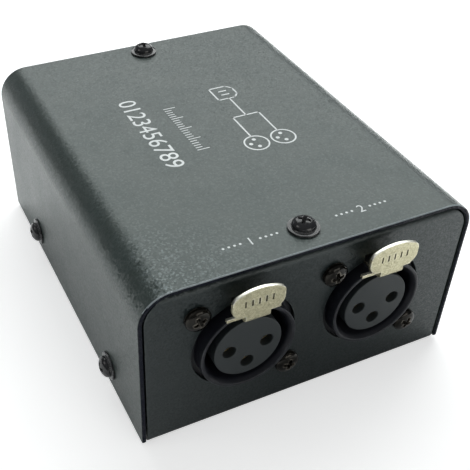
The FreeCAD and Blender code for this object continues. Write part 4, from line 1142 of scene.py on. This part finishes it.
class BOX_OT_stage(bpy.types.Operator):
    """Sets floor, lamps, world and camera"""

    bl_idname = "box.stage"
    bl_label = "Set Stage"

    def execute(self, context):
        stage = settings(context).stage
        self.world(context, stage)
        self.floor(stage)
        self.lamps()
        self.camera(context, stage)
        context.scene.view_settings.view_transform = "Standard"
        return {"FINISHED"}

    def world(self, context, stage):
        """Even, soft light; the camera itself sees plain white."""
        world = bpy.data.worlds.new("Studio")
        world.use_nodes = True
        context.scene.world = world
        tree = world.node_tree
        tree.nodes.clear()
        rays = add(tree, "ShaderNodeLightPath")
        direction = add(tree, "ShaderNodeTexCoord").outputs["Generated"]
        height = add(tree, "ShaderNodeSeparateXYZ", {0: direction}).outputs["Z"]
        light = times(tree, ranged(tree, height, *SKY_RANGE, *SKY_LIGHT), stage.world_light)
        lit = add(tree, "ShaderNodeBackground", {"Color": SKY_COLOUR, "Strength": light})
        white = add(tree, "ShaderNodeBackground", {"Color": WHITE, "Strength": 1.0})
        links = {0: rays.outputs["Is Camera Ray"], 1: lit.outputs[0], 2: white.outputs[0]}
        mixed = add(tree, "ShaderNodeMixShader", links)
        add(tree, "ShaderNodeOutputWorld", {"Surface": mixed.outputs[0]})

    def floor(self, stage):
        """A wide pale floor that keeps the shadow and runs out in white; in reflections its colour
        is painted brighter beside the box and to its right.
        """
        form = bmesh.new()
        bmesh.ops.create_grid(form, x_segments=8, y_segments=8, size=FLOOR_HALF)
        mesh = to_mesh(form, "floor")
        made = put("floor", mesh)
        made.location.z = -FLOOR_DROP
        material = bpy.data.materials.new("floor")
        material.use_nodes = True
        tree = material.node_tree
        tree.nodes.clear()
        place = here(tree)
        rays = add(tree, "ShaderNodeLightPath").outputs
        tone = ranged(tree, noise(tree, place, FLOOR_NOISE), 0.0, 1.0, *FLOOR_TONES)
        # Painted reflection: brighter beside the box and to its right, in reflections only.
        across = add(tree, "ShaderNodeSeparateXYZ", {0: place}).outputs["X"]
        off = maths(tree, "ABSOLUTE", maths(tree, "SUBTRACT", across, stage.shine_middle))
        beside = ranged(tree, off, *stage.shine_start)
        far = ranged(tree, across, *stage.shine_far)
        shine = times(tree, maths(tree, "ADD", beside, far), stage.floor_shine)
        shone = maths(tree, "MULTIPLY_ADD", rays["Is Glossy Ray"], shine, 1.0)
        surface = add(tree, "ShaderNodeBsdfDiffuse", {"Color": times(tree, tone, shone)})
        faded = ranged(tree, vector_maths(tree, "LENGTH", place), *stage.fade_range)
        lift = maths(tree, "MULTIPLY_ADD", faded, stage.floor_fade, stage.floor_lift)
        seen = times(tree, rays["Is Camera Ray"], lift)
        glow = add(tree, "ShaderNodeEmission", {"Color": WHITE, "Strength": seen})
        both = add(tree, "ShaderNodeAddShader", {0: surface.outputs[0], 1: glow.outputs[0]})
        add(tree, "ShaderNodeOutputMaterial", {"Surface": both.outputs[0]})
        mesh.materials.append(material)

    def lamps(self):
        """Soft lamps around the box."""
        for name, spot, aim, sides, power, colour in LAMPS:
            data = bpy.data.lights.new(name, "AREA")
            data.shape = "RECTANGLE"
            data.size, data.size_y = sides
            data.energy = power
            data.color = colour
            lamp = put(name, data)
            lamp.location = spot
            lamp.rotation_euler = (Vector(aim) - Vector(spot)).to_track_quat("-Z", "Y").to_euler()

    def camera(self, context, stage):
        """The camera at the photo's angle."""
        data = bpy.data.cameras.new("camera")
        data.lens = stage.lens
        data.sensor_width = SENSOR
        data.shift_x, data.shift_y = stage.shift_x, stage.shift_y
        data.clip_start, data.clip_end = CLIP
        made = put("camera", data)
        turn = Euler((math.pi / 2 - stage.height_angle, 0.0, -stage.bearing)).to_matrix()
        turn = turn @ Matrix.Rotation(stage.roll, 3, "Z")
        made.rotation_euler = turn.to_euler()
        made.location = Vector(stage.aim) + turn @ Vector((0, 0, stage.distance))
        context.scene.camera = made


class BOX_PT_panel(bpy.types.Panel):
    """Buttons and sizes of the dressed box"""

    bl_idname = "BOX_PT_panel"
    bl_label = "Lighting Interface Box"
    bl_space_type = "VIEW_3D"
    bl_region_type = "UI"
    bl_category = "Box"

    def draw(self, context):
        for operator in STEPS:
            self.layout.operator(operator.bl_idname)
        look = settings(context)
        for group in (look.edges, look.screws, look.sockets, look.ink, look.stage):
            column = self.layout.box().column()
            for name in group.bl_rna.properties.keys():
                if name not in ("rna_type", "name"):
                    column.prop(group, name)


GROUPS = EdgeSettings, ScrewSettings, SocketSettings, PrintSettings, StageSettings, BoxSettings
BUILDERS = BOX_OT_enclosure, BOX_OT_screws, BOX_OT_sockets, BOX_OT_print, BOX_OT_electronics
STEPS = (*BUILDERS, BOX_OT_stage)
CLASSES = (*GROUPS, *STEPS, BOX_PT_panel)


def register():
    for item in CLASSES:
        bpy.utils.register_class(item)
    bpy.types.Scene.box_look = bpy.props.PointerProperty(type=BoxSettings)


def unregister():
    del bpy.types.Scene.box_look
    for item in reversed(CLASSES):
        bpy.utils.unregister_class(item)


def main():
    register()
    for step in STEPS:
        getattr(bpy.ops.box, step.bl_idname.split(".")[1])()


if __name__ == "__main__":
    main()
